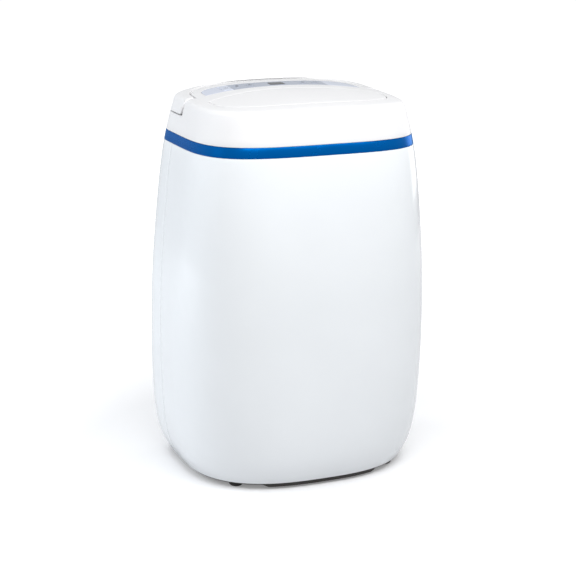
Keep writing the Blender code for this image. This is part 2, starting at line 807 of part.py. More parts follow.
def make_handle_pins():
    for side, label in ((-1, "left"), (1, "right")):
        y, z = HANDLE_PIVOT.y, HANDLE_PIVOT.z
        profile = ((0.0042, 0.1095), (0.0042, 0.1120), (PIN_RADIUS, 0.1120), (PIN_RADIUS, 0.1255))
        turned(f"handle_pin_{label}", (0, y, z), (side, 0, 0), profile, "galvanised", 16)


def make_control_board():
    low, high = (-0.092, 0.036, 0.4650), (0.092, 0.066, 0.4666)
    box("control_board", low, high, "circuit_green")


# ---------------------------------------------------------------- rear pieces


def rear_panel(name, half, low, high, thickness, finish, flat_back=None, columns=9, rows=5):
    """A panel flush with the casing's back, with a curved or a flat inner face."""
    outer, inner = [], []
    for j in range(rows):
        z = low + (high - low) * j / (rows - 1)
        xs = spread(half, columns)
        outer.append([(x, wall_y(x, z, 1, 0.0), z) for x in xs])
        depth = [flat_back if flat_back else wall_y(x, z, 1, 0.0) - thickness for x in xs]
        inner.append([(x, y, z) for x, y in zip(xs, depth)])
    return grid_solid(name, outer, inner, finish)


def make_filter():
    """The intake grille pulls off the back with the dust filter clipped behind it."""
    half, low, high = FILTER_OPENING
    grille = rear_panel(
        "intake_grille", half - 0.0006, low + 0.0006, high - 0.0006, 0.0030, "gloss_white"
    )
    slots = []
    count = 8
    pitch = (high - low - 0.022) / count
    for k in range(count):
        z = low + 0.011 + pitch * (k + 0.5)
        for x0, x1 in ((-0.100, -0.0015), (0.0015, 0.100)):
            slots.append(((x0, 0.09, z - 0.0050), (x1, 0.14, z + 0.0050)))
    boolean(grille, boxes("grille_slots", slots))
    frame = box(
        "filter_frame", (-0.1030, 0.1000, low + 0.006), (0.1030, 0.1050, high - 0.006), "dark_plastic"
    )
    box("filter_mesh", (-0.1000, 0.0988, low + 0.009), (0.1000, 0.0997, high - 0.009), "mesh_grey")
    slots = []
    for x0, x1 in ((-0.0960, -0.0035), (0.0035, 0.0960)):
        for z0, z1 in ((low + 0.0135, 0.3125), (0.3195, high - 0.0135)):
            slots.append(((x0, 0.09, z0), (x1, 0.12, z1)))
    boolean(frame, boxes("filter_holes", slots))


def boxes(name, corners):
    """One cutter made of several separate boxes."""
    points, faces = [], []
    for (x0, y0, z0), (x1, y1, z1) in corners:
        base = len(points)
        for z in (z0, z1):
            points += [(x0, y0, z), (x1, y0, z), (x1, y1, z), (x0, y1, z)]
        faces += [tuple(base + i for i in f) for f in loft_faces(2, 4)]
        faces += [(base, base + 3, base + 2, base + 1), (base + 4, base + 5, base + 6, base + 7)]
    return mesh_object(name, points, faces)


def make_tank():
    low, high = TANK
    tub("water_tank", low, high, TANK_WALL, 0.012, "clear_plastic")
    half, bottom, top = TANK_OPENING
    face = rear_panel(
        "tank_face", half - 0.0006, bottom + 0.0006, top - 0.0006, 0.0, "gloss_white",
        flat_back=high[1] + GAP,
    )
    grip = loft(
        "tank_grip_cut",
        [[(x, y, z) for x, z in rounded_rectangle((-0.050, 0.146), (0.050, 0.176), 0.010)]
         for y in (high[1] + 0.0028, 0.15)],
    )
    boolean(face, grip)


def make_tank_lid():
    """The lid carries the float's ears and lets the tray's spout drip through."""
    (x0, y0, _), (x1, y1, z1) = TANK
    base = z1 + GAP
    outline = rounded_rectangle((x0, y0), (x1, y1), 0.012)
    levels = (base, base + 0.0025)
    lid = loft("tank_lid", [[(x, y, z) for x, y in outline] for z in levels], "clear_plastic")
    for k, offset in enumerate((-0.016, 0.016)):
        x, y, z = FLOAT_PIVOT.x + offset, FLOAT_PIVOT.y, FLOAT_PIVOT.z
        ear = box(
            f"float_ear_{k}", (x - 0.0015, y - 0.005, z - 0.005), (x + 0.0015, y + 0.005, base + 0.001)
        )
        boolean(lid, ear, "UNION")
    reach = Vector((0.03, 0, 0))
    bore = rod("float_bore", FLOAT_PIVOT - reach, FLOAT_PIVOT + reach, 0.0024, segments=8)
    boolean(lid, bore)
    low_end, high_end = SPOUT_PLACE + Vector((0, 0, 0.17)), SPOUT_PLACE + Vector((0, 0, 0.22))
    drip = rod("drip_hole", low_end, high_end, 0.009)
    boolean(lid, drip)


def make_tank_float():
    x, y, z = FLOAT_PIVOT
    block = box(
        "tank_float", (x - 0.0125, y + 0.020, z - 0.022), (x + 0.0125, y + 0.052, z - 0.004),
        "grey_plastic", FLOAT_PIVOT,
    )
    arm = box("float_arm", (x - 0.006, y - 0.002, z - 0.0060), (x + 0.006, y + 0.024, z - 0.0025))
    boolean(block, arm, "UNION")
    hub = rod("float_hub", (x - 0.0135, y, z), (x + 0.0135, y, z), 0.0038, segments=8)
    boolean(block, hub, "UNION")
    pin = rod("float_pin", (x - 0.0172, y, z), (x + 0.0172, y, z), 0.0020, segments=8)
    boolean(block, pin, "UNION")


def make_tank_bay():
    """The liner that holds the tank, on two rails above the base pan."""
    low, high = BAY
    bay = box("tank_bay", low, high, "grey_plastic")
    inner_low = tuple(v + BAY_WALL for v in low)
    inner_high = (high[0] - BAY_WALL, 0.2, high[2] - BAY_WALL)
    for k, x in enumerate((-0.085, 0.085)):
        rail = box(
            f"bay_rail_{k}", (x - 0.002, 0.004, PAN_TOP + GAP), (x + 0.002, 0.088, low[2] + 0.001)
        )
        boolean(bay, rail, "UNION")
    boolean(bay, box("bay_hollow", inner_low, inner_high))
    low_end, high_end = SPOUT_PLACE + Vector((0, 0, 0.19)), SPOUT_PLACE + Vector((0, 0, 0.21))
    drip = rod("bay_drip_hole", low_end, high_end, 0.0065)
    boolean(bay, drip)
    box("tank_switch", (0.080, -0.0125, 0.160), (0.100, -0.0048, 0.184), "dark_plastic")


def make_drip_tray():
    """The tray under the coils drains into the tank, or through its rear port into a hose."""
    low, high = TRAY
    tray = tub("drip_tray", low, high, 0.0020, 0.008, "grey_plastic")
    x, y = SPOUT_PLACE.x, SPOUT_PLACE.y
    spout = rod("tray_spout", (x, y, low[2] + 0.001), (x, y, 0.1915), 0.0052)
    boolean(tray, spout, "UNION")
    port_start = Vector((DRAIN_PLACE.x, high[1] - 0.001, DRAIN_PLACE.z))
    port_end = Vector((DRAIN_PLACE.x, 0.1180, DRAIN_PLACE.z))
    boolean(tray, rod("tray_port", port_start, port_end, 0.0066), "UNION")
    boolean(tray, rod("spout_bore", (x, y, 0.18), (x, y, 0.21), 0.0034))
    port_start.y -= 0.006
    port_end.y += 0.010
    boolean(tray, rod("port_bore", port_start, port_end, 0.0046))


def make_drain_plug():
    base = Vector((DRAIN_PLACE.x, 0.1040, DRAIN_PLACE.z))
    profile = ((0.0038, 0.0), (0.0043, 0.003), (0.0043, 0.0143), (0.0072, 0.0143), (0.0072, 0.0168))
    turned("drain_plug", base, (0, 1, 0), profile, "rubber", 20)


def make_cord_gland():
    """The bushing where the mains lead enters. The lead itself isn't part of the model."""
    base = GLAND_PLACE + Vector((0, 0.1020, 0))
    profile = (
        (0.0034, 0.0), (0.0095, 0.0), (0.0095, 0.0025), (0.0069, 0.0025), (0.0066, 0.0172),
        (0.0058, 0.0180), (0.0034, 0.0180),
    )
    turned("cord_gland", base, (0, 1, 0), profile, "dark_plastic", 20, ring=True)


# ---------------------------------------------------------------- base


def make_base_pan():
    """The pan closes the casing from below, and its dark skirt shows under the shells."""
    angles = full_angles(36)
    path = (
        (PAN_BOTTOM, 0.0060), (SKIRT_BOTTOM, 0.0050), (SKIRT_BOTTOM, 0.0015), (0.0076, 0.0012),
        (0.0076, 0.0040), (PAN_TOP, 0.0040),
    )
    rings = [
        [(*outline_point(a, max(z, SHELL_BOTTOM), inset), z) for a in angles] for z, inset in path
    ]
    pan = loft("base_pan", rings, "dark_plastic")
    for name, (x, y) in FEET.items():
        recess_top = (x, y, PAN_BOTTOM - 0.0001)
        boolean(pan, rod(name + "_recess", (x, y, -0.01), recess_top, FOOT_RECESS_RADIUS))
        boolean(pan, rod(name + "_hole", (x, y, 0.0), (x, y, 0.03), 0.0033, segments=8))
    for name, (x, y) in SCREWS.items():
        ends = ((x, y, 0.0), (x, y, 0.03))
        boolean(pan, rod(name + "_pan_hole", *ends, SCREW_RADIUS + GAP, segments=8))
    for k, place in enumerate(lug_places()):
        hole = rod(f"stud_hole_{k}", place, place + Vector((0, 0, 0.03)), 0.0023, segments=8)
        boolean(pan, hole)


def make_feet():
    for name, (x, y) in FEET.items():
        profile = [(0.0055, 0.0), (0.0080, 0.0010), (0.0095, 0.0035), (FOOT_RADIUS, 0.0068)]
        profile += [(0.0086, 0.0086), (0.0030, 0.0086), (0.0030, 0.0160), (0.0022, 0.0175)]
        turned(name, (x, y, 0.0), (0, 0, 1), profile, "rubber", 18)


def make_screws():
    for name, (x, y) in SCREWS.items():
        profile = (
            (0.0030, 0.0064), (0.0035, 0.0070), (0.0035, 0.0087), (SCREW_RADIUS, 0.0087),
            (SCREW_RADIUS, 0.0200),
        )
        turned(name, (x, y, 0.0), (0, 0, 1), profile, "galvanised", 12)


# ---------------------------------------------------------------- cooling circuit


def lug_places():
    places = []
    for k in range(COMPRESSOR_LUGS):
        angle = math.radians(60 + 360 * k / COMPRESSOR_LUGS)
        offset = Vector((math.cos(angle), math.sin(angle), 0.0)) * COMPRESSOR_LUG_RADIUS
        places.append(COMPRESSOR_PLACE + offset)
    return places


def make_compressor():
    profile = [(0.020, 0.0240), (0.030, 0.0262)]
    for k in range(1, 5):
        bend = math.radians(90 * k / 4)
        profile.append((0.030 + 0.016 * math.sin(bend), 0.0280 + 0.018 * (1 - math.cos(bend))))
    for k in range(0, 5):
        bend = math.radians(90 * k / 4)
        profile.append((0.018 + 0.028 * math.cos(bend), 0.165 + 0.022 * math.sin(bend)))
    can = turned("compressor", COMPRESSOR_PLACE, (0, 0, 1), profile, "black_enamel", 20)
    for k, place in enumerate(lug_places()):
        centre = COMPRESSOR_PLACE
        along = (place - centre).normalized()
        side = Vector((-along.y, along.x, 0.0)) * 0.007
        start, end = centre + along * 0.012, place + along * 0.0055
        corners = (start - side, end - side, end + side, start + side)
        levels = (0.0240, 0.0262)
        lug = loft(f"compressor_lug_{k}", [[(c.x, c.y, z) for c in corners] for z in levels])
        boolean(can, lug, "UNION")
        top = place + Vector((0, 0, 0.028))
        boolean(can, rod(f"compressor_lug_hole_{k}", place, top, 0.0023, segments=8))


def make_compressor_mounts():
    for k, place in enumerate(lug_places()):
        height = 0.0240 - GAP
        start = PAN_TOP + GAP
        profile = (
            (0.0023, start), (0.0058, start), (0.0046, (start + height) / 2), (0.0058, height),
            (0.0023, height),
        )
        turned(f"compressor_grommet_{k + 1}", place, (0, 0, 1), profile, "rubber", 16, ring=True)
        profile = ((0.0020, 0.0100), (0.0020, 0.0265), (0.0042, 0.0265), (0.0042, 0.0290))
        turned(f"compressor_bolt_{k + 1}", place, (0, 0, 1), profile, "galvanised", 12)


def finned_core(name, y_range):
    """A coil core: a plate pack drawn as a comb on both faces."""
    y0, y1 = y_range
    count = 14
    pitch = 2 * COIL_HALF_WIDTH / (count - 0.55)
    groove = 0.0085
    rear, front = [], []
    for k in range(count):
        x = -COIL_HALF_WIDTH + pitch * k
        for a, b, deep in ((0.0, 0.45, False), (0.45, 1.0, True)):
            if deep and k == count - 1:
                continue
            depth = groove if deep else 0.0
            rear += [(x + pitch * a, y1 - depth), (x + pitch * b, y1 - depth)]
            front += [(x + pitch * a, y0 + depth), (x + pitch * b, y0 + depth)]
    outline = front + rear[::-1]
    z0, z1 = COIL_HEIGHTS
    return loft(name, [[(x, y, z) for x, y in outline] for z in (z0, z1)], "aluminium")


def add_return_bends(core, y, x_side, label):
    """Hairpin bends of the coil's tube, standing out of one end of the pack."""
    z0, z1 = COIL_HEIGHTS
    count = 3
    pitch = (z1 - z0) / count
    for k in range(count):
        low = z0 + pitch * (k + 0.25)
        high = z0 + pitch * (k + 0.75)
        start = x_side * (COIL_HALF_WIDTH - 0.006)
        end = x_side * (COIL_HALF_WIDTH + 0.009)
        corners = ((start, y, low), (end, y, low), (end, y, high), (start, y, high))
        path = rounded_path(corners, 0.006, 2)
        boolean(core, tube(f"{label}_bend_{k}", path, 0.0035, None, 6), "UNION")


def make_coils():
    condenser = finned_core("condenser_coil", CONDENSER_Y)
    evaporator = finned_core("evaporator_coil", EVAPORATOR_Y)
    add_return_bends(condenser, sum(CONDENSER_Y) / 2, 1, "condenser")
    add_return_bends(evaporator, sum(EVAPORATOR_Y) / 2, 1, "evaporator")


def make_pipes():
    condenser_y, evaporator_y = sum(CONDENSER_Y) / 2, sum(EVAPORATOR_Y) / 2
    top = 0.1873
    x, y = COMPRESSOR_PLACE.x, COMPRESSOR_PLACE.y
    end_x = -COIL_HALF_WIDTH - GAP
    discharge = (
        (x - 0.012, y - 0.012, top), (x - 0.012, y - 0.012, 0.2120), (-0.1200, y - 0.008, 0.2180),
        (-0.1200, condenser_y, 0.2500), (end_x, condenser_y, 0.2500),
    )
    tube("discharge_pipe", rounded_path(discharge, 0.010), 0.0030, "copper")
    suction = (
        (x + 0.010, y + 0.012, top), (x + 0.010, y + 0.012, 0.2000), (-0.1330, y + 0.016, 0.2060),
        (-0.1330, evaporator_y, 0.2700), (end_x, evaporator_y, 0.2700),
    )
    tube("suction_pipe", rounded_path(suction, 0.010), 0.0040, "copper")
    liquid = (
        (end_x, condenser_y, 0.3700), (-0.1180, condenser_y, 0.3700), (-0.1180, evaporator_y, 0.3400),
        (end_x, evaporator_y, 0.3400),
    )
    tube("capillary_pipe", rounded_path(liquid, 0.008), 0.0016, "copper", 6)


# ---------------------------------------------------------------- fan


def housing_outline(inset):
    """The scroll seen from the front: it widens round the wheel and opens upwards."""
    left, right = 0.080, 0.095
    points = [(-left + inset, HOUSING_TOP)]
    for k in range(15):
        share = k / 14
        angle = math.pi + math.pi * share
        radius = left + (right - left) * share - inset
        points.append((radius * math.cos(angle), FAN_AXIS_Z + radius * math.sin(angle)))
    points.append((right - inset, HOUSING_TOP))
    return points


def make_fan_housing():
    front, rear = HOUSING
    wall = 0.0025
    scroll = [[(x, y, z) for x, z in housing_outline(0.0)] for y in (front, rear)]
    housing = loft("fan_housing", scroll, "grey_plastic")
    hollow = [(x, z if z < HOUSING_TOP else HOUSING_TOP + 0.02) for x, z in housing_outline(wall)]
    depths = (front + wall, rear + 0.02)
    boolean(housing, loft("housing_hollow", [[(x, y, z) for x, z in hollow] for y in depths]))
    ends = ((0, front - 0.01, FAN_AXIS_Z), (0, front + 0.01, FAN_AXIS_Z))
    boolean(housing, rod("motor_hole", *ends, 0.012))


def rectangle(x0, x1, y0, y1, z):
    return [(x0, y0, z), (x1, y0, z), (x1, y1, z), (x0, y1, z)]


def make_outlet_duct():
    front, rear = HOUSING
    wall = 0.0020
    low, high = HOUSING_TOP + GAP, DUCT_TOP
    rings = [
        rectangle(-0.0800, 0.0950, front, rear, low),
        rectangle(-0.0950, 0.0950, -0.056, 0.020, high),
        rectangle(-0.0950 + wall, 0.0950 - wall, -0.056 + wall, 0.020 - wall, high),
        rectangle(-0.0800 + wall, 0.0950 - wall, front + wall, rear - wall, low),
    ]
    loft("outlet_duct", rings, "grey_plastic", closed=True)
    low, high = DUCT_TOP + GAP, DUCT_TOP + 0.0028
    grille = box("outlet_grille", (-0.0950, -0.056, low), (0.0950, 0.020, high), "dark_plastic")
    slots = []
    count = 10
    pitch = 0.182 / count
    for k in range(count):
        x = -0.091 + pitch * (k + 0.5)
        for y0, y1 in ((-0.0525, -0.0195), (-0.0165, 0.0165)):
            slots.append(((x - 0.0060, y0, 0.43), (x + 0.0060, y1, 0.46)))
    boolean(grille, boxes("outlet_slots", slots))


def make_fan_shroud():
    low, high = COIL_HEIGHTS
    y0, y1 = HOUSING[1] + GAP, HOUSING[1] + GAP + 0.0025
    shroud = box("fan_shroud", (-0.1080, y0, low), (0.1080, y1, high), "grey_plastic")
    ends = ((0, y0 - 0.01, FAN_AXIS_Z), (0, y1 + 0.01, FAN_AXIS_Z))
    boolean(shroud, rod("inlet_hole", *ends, 0.060, segments=32))


def make_fan():
    """Motor, shaft and a squirrel-cage wheel on one axis along Y."""
    axis = Vector((0.0, 1.0, 0.0))
    base = Vector((0.0, 0.0, FAN_AXIS_Z))
    motor = (
        (0.030, -0.0960), (0.038, -0.0920), (0.038, -0.0580), (0.020, -0.0540), (0.011, -0.0540),
        (0.011, -0.0505), (0.0043, -0.0505), (0.0043, -0.0900),
    )
    turned("fan_motor", base, axis, motor, "galvanised", 24)
    rod("fan_shaft", base + axis * -0.0895, base + axis * -0.0200, SHAFT_RADIUS, "galvanised", 16, base)
    disc = (
        (0.0098, -0.0450), (FAN_RADIUS, -0.0430), (FAN_RADIUS, -0.0410), (0.0098, -0.0410),
        (0.0098, -0.0210), (0.0044, -0.0210), (0.0044, -0.0450),
    )
    wheel = turned("fan_wheel", base, axis, disc, "dark_plastic", 28, base, ring=True)
    rim_section = (
        (0.0570, -0.0120), (FAN_RADIUS, -0.0120), (FAN_RADIUS, -0.0095), (0.0570, -0.0095)
    )
    rim = turned("fan_rim", base, axis, rim_section, None, 28, ring=True)
    boolean(wheel, rim, "UNION")
    for k in range(FAN_BLADES):
        turn = 2 * math.pi * k / FAN_BLADES
        outward = Vector((math.cos(turn), 0.0, math.sin(turn)))
        round_ = Vector((-math.sin(turn), 0.0, math.cos(turn)))
        inner, outer = outward * 0.0590, outward * 0.0685 + round_ * 0.0050
        thick = round_ * 0.0007
        corners = (inner - thick, outer - thick, outer + thick, inner + thick)
        ends = (-0.0420, -0.0110)
        blade = loft(f"fan_blade_{k}", [[base + c + axis * y for c in corners] for y in ends])
        boolean(wheel, blade, "UNION")


# ---------------------------------------------------------------- electrics


def make_electrics():
    box("electronics_box", (0.030, -0.0740, 0.0400), (0.108, -0.0300, 0.1480), "galvanised")
    profile = ((0.0140, 0.1484), (0.0170, 0.1500), (0.0170, 0.2020), (0.0150, 0.2040))
    turned("run_capacitor", (0.070, -0.0520, 0.0), (0, 0, 1), profile, "galvanised", 20)
    box("humidity_sensor", (0.1180, 0.0780, 0.3000), (0.1280, 0.0860, 0.3240), "circuit_green")


def build():
    clear_scene()
    make_front_shell()
    make_rear_shell()
    make_trim_band()
    make_top_cover()
    make_fascia()
    make_keys()
    make_outlet_flap()
    make_carry_handle()
    make_handle_pins()
    make_control_board()
    make_filter()
    make_tank()
    make_tank_lid()
    make_tank_float()
    make_tank_bay()
    make_drip_tray()
    make_drain_plug()
    make_cord_gland()
    make_base_pan()
    make_feet()
    make_screws()
    make_compressor()
    make_compressor_mounts()
    make_coils()
    make_pipes()
    make_fan_housing()
    make_outlet_duct()
    make_fan_shroud()
    make_fan()
    make_electrics()


build()
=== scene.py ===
"""Compact compressor dehumidifier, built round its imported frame.

The casing follows the same formulas as the CAD part, at a finer step and with rounded edges.
"""

import json
import math

import bmesh
import bpy
import numpy as np
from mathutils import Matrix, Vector, kdtree
from mathutils.geometry import delaunay_2d_cdt


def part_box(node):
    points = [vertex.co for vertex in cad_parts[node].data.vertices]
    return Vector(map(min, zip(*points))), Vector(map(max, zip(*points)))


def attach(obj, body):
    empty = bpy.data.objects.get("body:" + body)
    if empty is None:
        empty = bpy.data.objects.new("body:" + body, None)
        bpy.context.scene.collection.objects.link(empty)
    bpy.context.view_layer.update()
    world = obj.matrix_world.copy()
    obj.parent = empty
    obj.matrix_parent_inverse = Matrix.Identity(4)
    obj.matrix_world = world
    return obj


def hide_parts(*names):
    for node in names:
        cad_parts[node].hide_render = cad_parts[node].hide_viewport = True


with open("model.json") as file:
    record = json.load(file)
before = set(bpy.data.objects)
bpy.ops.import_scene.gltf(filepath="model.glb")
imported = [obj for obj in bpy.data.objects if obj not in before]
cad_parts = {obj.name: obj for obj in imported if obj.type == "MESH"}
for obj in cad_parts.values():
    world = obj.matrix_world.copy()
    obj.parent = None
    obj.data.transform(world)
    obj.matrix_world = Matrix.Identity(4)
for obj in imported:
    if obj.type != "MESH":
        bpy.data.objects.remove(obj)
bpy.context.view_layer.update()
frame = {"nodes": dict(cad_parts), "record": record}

# ---- Casing, as in the CAD part ----
BAND_BOTTOM = 0.4190
BAND_TOP = 0.4315
SHELL_BOTTOM = 0.0080
SHELL_TOP = 0.4187
SHOULDER_RADIUS = 0.006
WALL = 0.0028
COVER_WALL = 0.0022
GAP = 0.0003
WIDEST_Y = 0.0292
SEAM_Y = 0.0454
REAR_EXPONENT = 6.4
STATIONS = np.array(
    (
        (0.000, 0.1405),
        (0.030, 0.1547),
        (0.060, 0.1608),
        (0.100, 0.1634),
        (0.160, 0.1644),
        (0.240, 0.1625),
        (0.320, 0.1567),
        (0.400, 0.1481),
        (0.440, 0.1407),
        (0.470, 0.1330),
        (0.490, 0.1265),
    )
)

# ---- Top surface ----
TOP_FRONT_Y = -0.098
TOP_FRONT_Z = 0.4735
TOP_DEPTH = 0.192
TOP_RISE = 0.0135
TOP_SIDE_DROP = 0.0065
TOP_SIDE_X = 0.105

# ---- Handle, channel, flap and fascia; the ledge in the channel isn't in the CAD part ----
CHANNEL_FRONT_Y = 0.0262
CHANNEL_FLOOR = 0.4541
ISLAND = (0.1165, 0.0550)
LEDGE = (0.1172, 0.0610)
LEDGE_DROP = 0.0050
HANDLE_INNER = (0.1180, 0.0636)
PLATEAU_EXPONENT = 4.0
HANDLE_BOTTOM = 0.4555
HANDLE_FRONT_Y = 0.0296
HANDLE_PIVOT = (0.0400, 0.4655)
HANDLE_NOSE = 0.0104
FLAP_HALF_WIDTH = 0.1125
FLAP_TIP_Y = -0.005
FLAP_FRONT_DEPTH = 0.061
FLAP_REAR_DEPTH = 0.032
FLAP_CLEARANCE = 0.0010
FLAP_PIVOT = (-0.0130, 0.4700)
COLLAR_BOTTOM = 0.4600
COLLAR_DEPTH = 0.0045
FASCIA_HALF_WIDTH = 0.104
FASCIA_END_Y = 0.031
FASCIA_FRONT_BOW = 0.0155
FASCIA_REAR_DEPTH = 0.0405
KEY_CLEARANCE = 0.0004
ROUND_KEYS = ("mode_key", "fan_speed_key", "humidity_key", "timer_key")
ALL_KEYS = ROUND_KEYS + ("power_key",)
ROUND_KEY_RADIUS = 0.0046
KEY_FLANGE = 0.0012
KEY_CORNER = 0.0012
PRINT_HALF_WIDTH = 0.0640  # the darker field behind the fascia
PRINT_BLUR = 0.0004
STROKE = 0.0005  # line width of the symbols on the keys

# ---- Back ----
PANEL_GAP = 0.0006
PANEL_CORNER = 0.0054
GLAND_HOLE_RADIUS = 0.0073
PLUG_HOLE_RADIUS = 0.0085
GRIP = ((-0.050, 0.146), (0.050, 0.176))  # two corners of the tank's grip recess
GRIP_PLATE = ((-0.053, 0.143), (0.053, 0.179))
SLOT_ROWS = 8
SLOT_HEIGHT = 0.010
SLOT_INNER_X = 0.0015
SLOT_OUTER_X = 0.100
GRILLE_RIM = 0.0104

# ---- Base pan and feet ----
RECESS_RADIUS = 0.0125
RECESS_TOP = 0.0089
SKIRT_HALF_WIDTH = 0.069  # the skirt is full along the front and rear only
SKIRT_TAPER = 0.010
SKIRT_LIFT = 0.0034
SKIRT_LIFT_BELOW = 0.005
BOWL_RADIUS = 0.0055
BOWL_FLARE = 0.0045
BOWL_HEIGHT = 0.0068

# ---- Tints of specular colour and of light ----
WHITE = (1.0, 1.0, 1.0)
COOL = (0.90, 0.95, 1.0)

# ---- Meshes ----
ROW_POINTS = 361
LINE_STEP = 0.0015
WELD = 2e-6
SHARP_ANGLE = math.radians(38)
CAD_SHARP_ANGLE = math.radians(32)


# ---------------------------------------------------------------- casing surface


def half_width(z):
    """Half width of the casing at each height, smooth through the stations."""
    z = np.asarray(z, float)
    heights, widths = STATIONS.T
    before = np.maximum(np.arange(len(heights)) - 1, 0)
    after = np.minimum(np.arange(len(heights)) + 1, len(heights) - 1)
    slopes = (widths[after] - widths[before]) / (heights[after] - heights[before])
    i = np.clip(np.searchsorted(heights, z, side="right") - 1, 0, len(heights) - 2)
    span = heights[i + 1] - heights[i]
    t = (z - heights[i]) / span
    return (
        widths[i] * (2 * t**3 - 3 * t**2 + 1)
        + slopes[i] * span * (t**3 - 2 * t**2 + t)
        + widths[i + 1] * (3 * t**2 - 2 * t**3)
        + slopes[i + 1] * span * (t**3 - t**2)
    )


def casing_shape(front, z):
    """Half width, depth and exponent of the front or rear half of the outline."""
    a = half_width(z)
    b = np.where(front, a * (0.908 + 0.100 * z), a * (0.582 - 0.098 * z))
    n = np.where(front, 2.64 + 2.49 * z, REAR_EXPONENT)
    return a, b, n


def casing(angle, z, inset=0.0):
    """Points of the casing, moved in from its surface by inset."""
    angle, z, inset = np.broadcast_arrays(*(np.asarray(v, float) for v in (angle, z, inset)))
    a, b, n = casing_shape(np.sin(angle) < 0, z)
    c, s = np.cos(angle), np.sin(angle)
    radius = (np.abs(c / a) ** n + np.abs(s / b) ** n) ** (-1 / n)
    x, y = radius * c, radius * s
    nx = np.copysign(np.abs(x / a) ** (n - 1) / a, x)
    ny = np.copysign(np.abs(y / b) ** (n - 1) / b, y)
    length = np.hypot(nx, ny)
    return np.stack((x - inset * nx / length, WIDEST_Y + y - inset * ny / length, z), -1)


def rear_angle(x, z):
    """The direction of the point of the casing's back that lies at x."""
    a, b, n = casing_shape(False, z)
    y = b * np.maximum(1 - np.abs(x / a) ** n, 0.0) ** (1 / n)
    return np.arctan2(y, x)


TABLE_ANGLES = np.linspace(-3.6, 3.6, 7201)
TABLE_STEPS = np.diff(casing(TABLE_ANGLES, 0.30), axis=0)
TABLE_ARC = np.concatenate(([0.0], np.cumsum(np.linalg.norm(TABLE_STEPS, axis=1))))


def arc_of(angle):
    return np.interp(angle, TABLE_ANGLES, TABLE_ARC)


def wall_surface(places, inset):
    """Maps (length along the outline, height) to the casing."""
    return casing(np.interp(places[:, 0], TABLE_ARC, TABLE_ANGLES), places[:, 1], inset)


def top_height(x, y):
    share = (y - TOP_FRONT_Y) / TOP_DEPTH
    drop = TOP_SIDE_DROP * np.abs(x / TOP_SIDE_X) ** 2.4 * (0.35 + 0.65 * share)
    return TOP_FRONT_Z + TOP_RISE * share - drop


def deck_surface(places, inset):
    """Maps a plan position to the top surface."""
    x, y = places[:, 0], places[:, 1]
    return np.stack((x, y, top_height(x, y) - inset), -1)


def shoulder(angle, turn):
    """Points on the round shoulder: turn 0 is the side, turn 1 the top."""
    bend = turn * np.pi / 2
    inner = casing(angle, 0.470, SHOULDER_RADIUS)
    crown = top_height(inner[..., 0], inner[..., 1])
    z = crown - SHOULDER_RADIUS * (1 - np.sin(bend))
    points = casing(angle, z, SHOULDER_RADIUS * (1 - np.cos(bend)))
    return deck_surface(points[:, :2], 0.0) if turn == 1.0 else points


# ---------------------------------------------------------------- loops and fills


def spaced(points, step, closed=True):
    """A line resampled at about an even step, with its corner points kept."""
    points = np.asarray(points, float)
    ends = np.roll(points, -1, axis=0) if closed else points[1:]
    found = []
    for start, end in zip(points, ends):
        pieces = max(1, round(np.linalg.norm(end - start) / step))
        found += [start + (end - start) * k / pieces for k in range(pieces)]
    if not closed:
        found.append(points[-1])
    return np.array(found)


def evened(loop, step):
    """A closed line resampled at even steps along its length."""
    closed = np.concatenate((loop, loop[:1]))
    along = np.concatenate(([0.0], np.cumsum(np.linalg.norm(np.diff(closed, axis=0), axis=1))))
    at = np.linspace(0.0, along[-1], round(along[-1] / step), endpoint=False)
    return np.stack([np.interp(at, along, closed[:, k]) for k in (0, 1)], -1)


def signed_area(loop):
    x, y = loop.T
    return 0.5 * float(np.sum(x * np.roll(y, -1) - np.roll(x, -1) * y))


def wound(loop, anticlockwise):
    return loop if (signed_area(loop) > 0) == anticlockwise else loop[::-1]


def moved_left(loop, distance):
    """A closed loop moved to the left of its direction, with mitred corners."""
    before = loop - np.roll(loop, 1, axis=0)
    after = np.roll(loop, -1, axis=0) - loop
    sides = []
    for edge in (before, after):
        unit = edge / np.linalg.norm(edge, axis=1)[:, None]
        sides.append(np.stack((-unit[:, 1], unit[:, 0]), -1))
    normal = sides[0] + sides[1]
    normal /= np.linalg.norm(normal, axis=1)[:, None]
    mitre = np.maximum(np.sum(normal * sides[0], axis=1), 0.6)
    return loop + normal * (distance / mitre)[:, None]


def is_inside(points, loops):
    """Whether each point is inside an odd number of the loops."""
    odd = np.zeros(len(points), bool)
    for loop in loops:
        ends = np.roll(loop, -1, axis=0)
        for (x0, y0), (x1, y1) in zip(loop, ends):
            if y0 == y1:
                continue
            crosses = (points[:, 1] > y0) != (points[:, 1] > y1)
            odd ^= crosses & (points[:, 0] < x0 + (points[:, 1] - y0) * (x1 - x0) / (y1 - y0))
    return odd


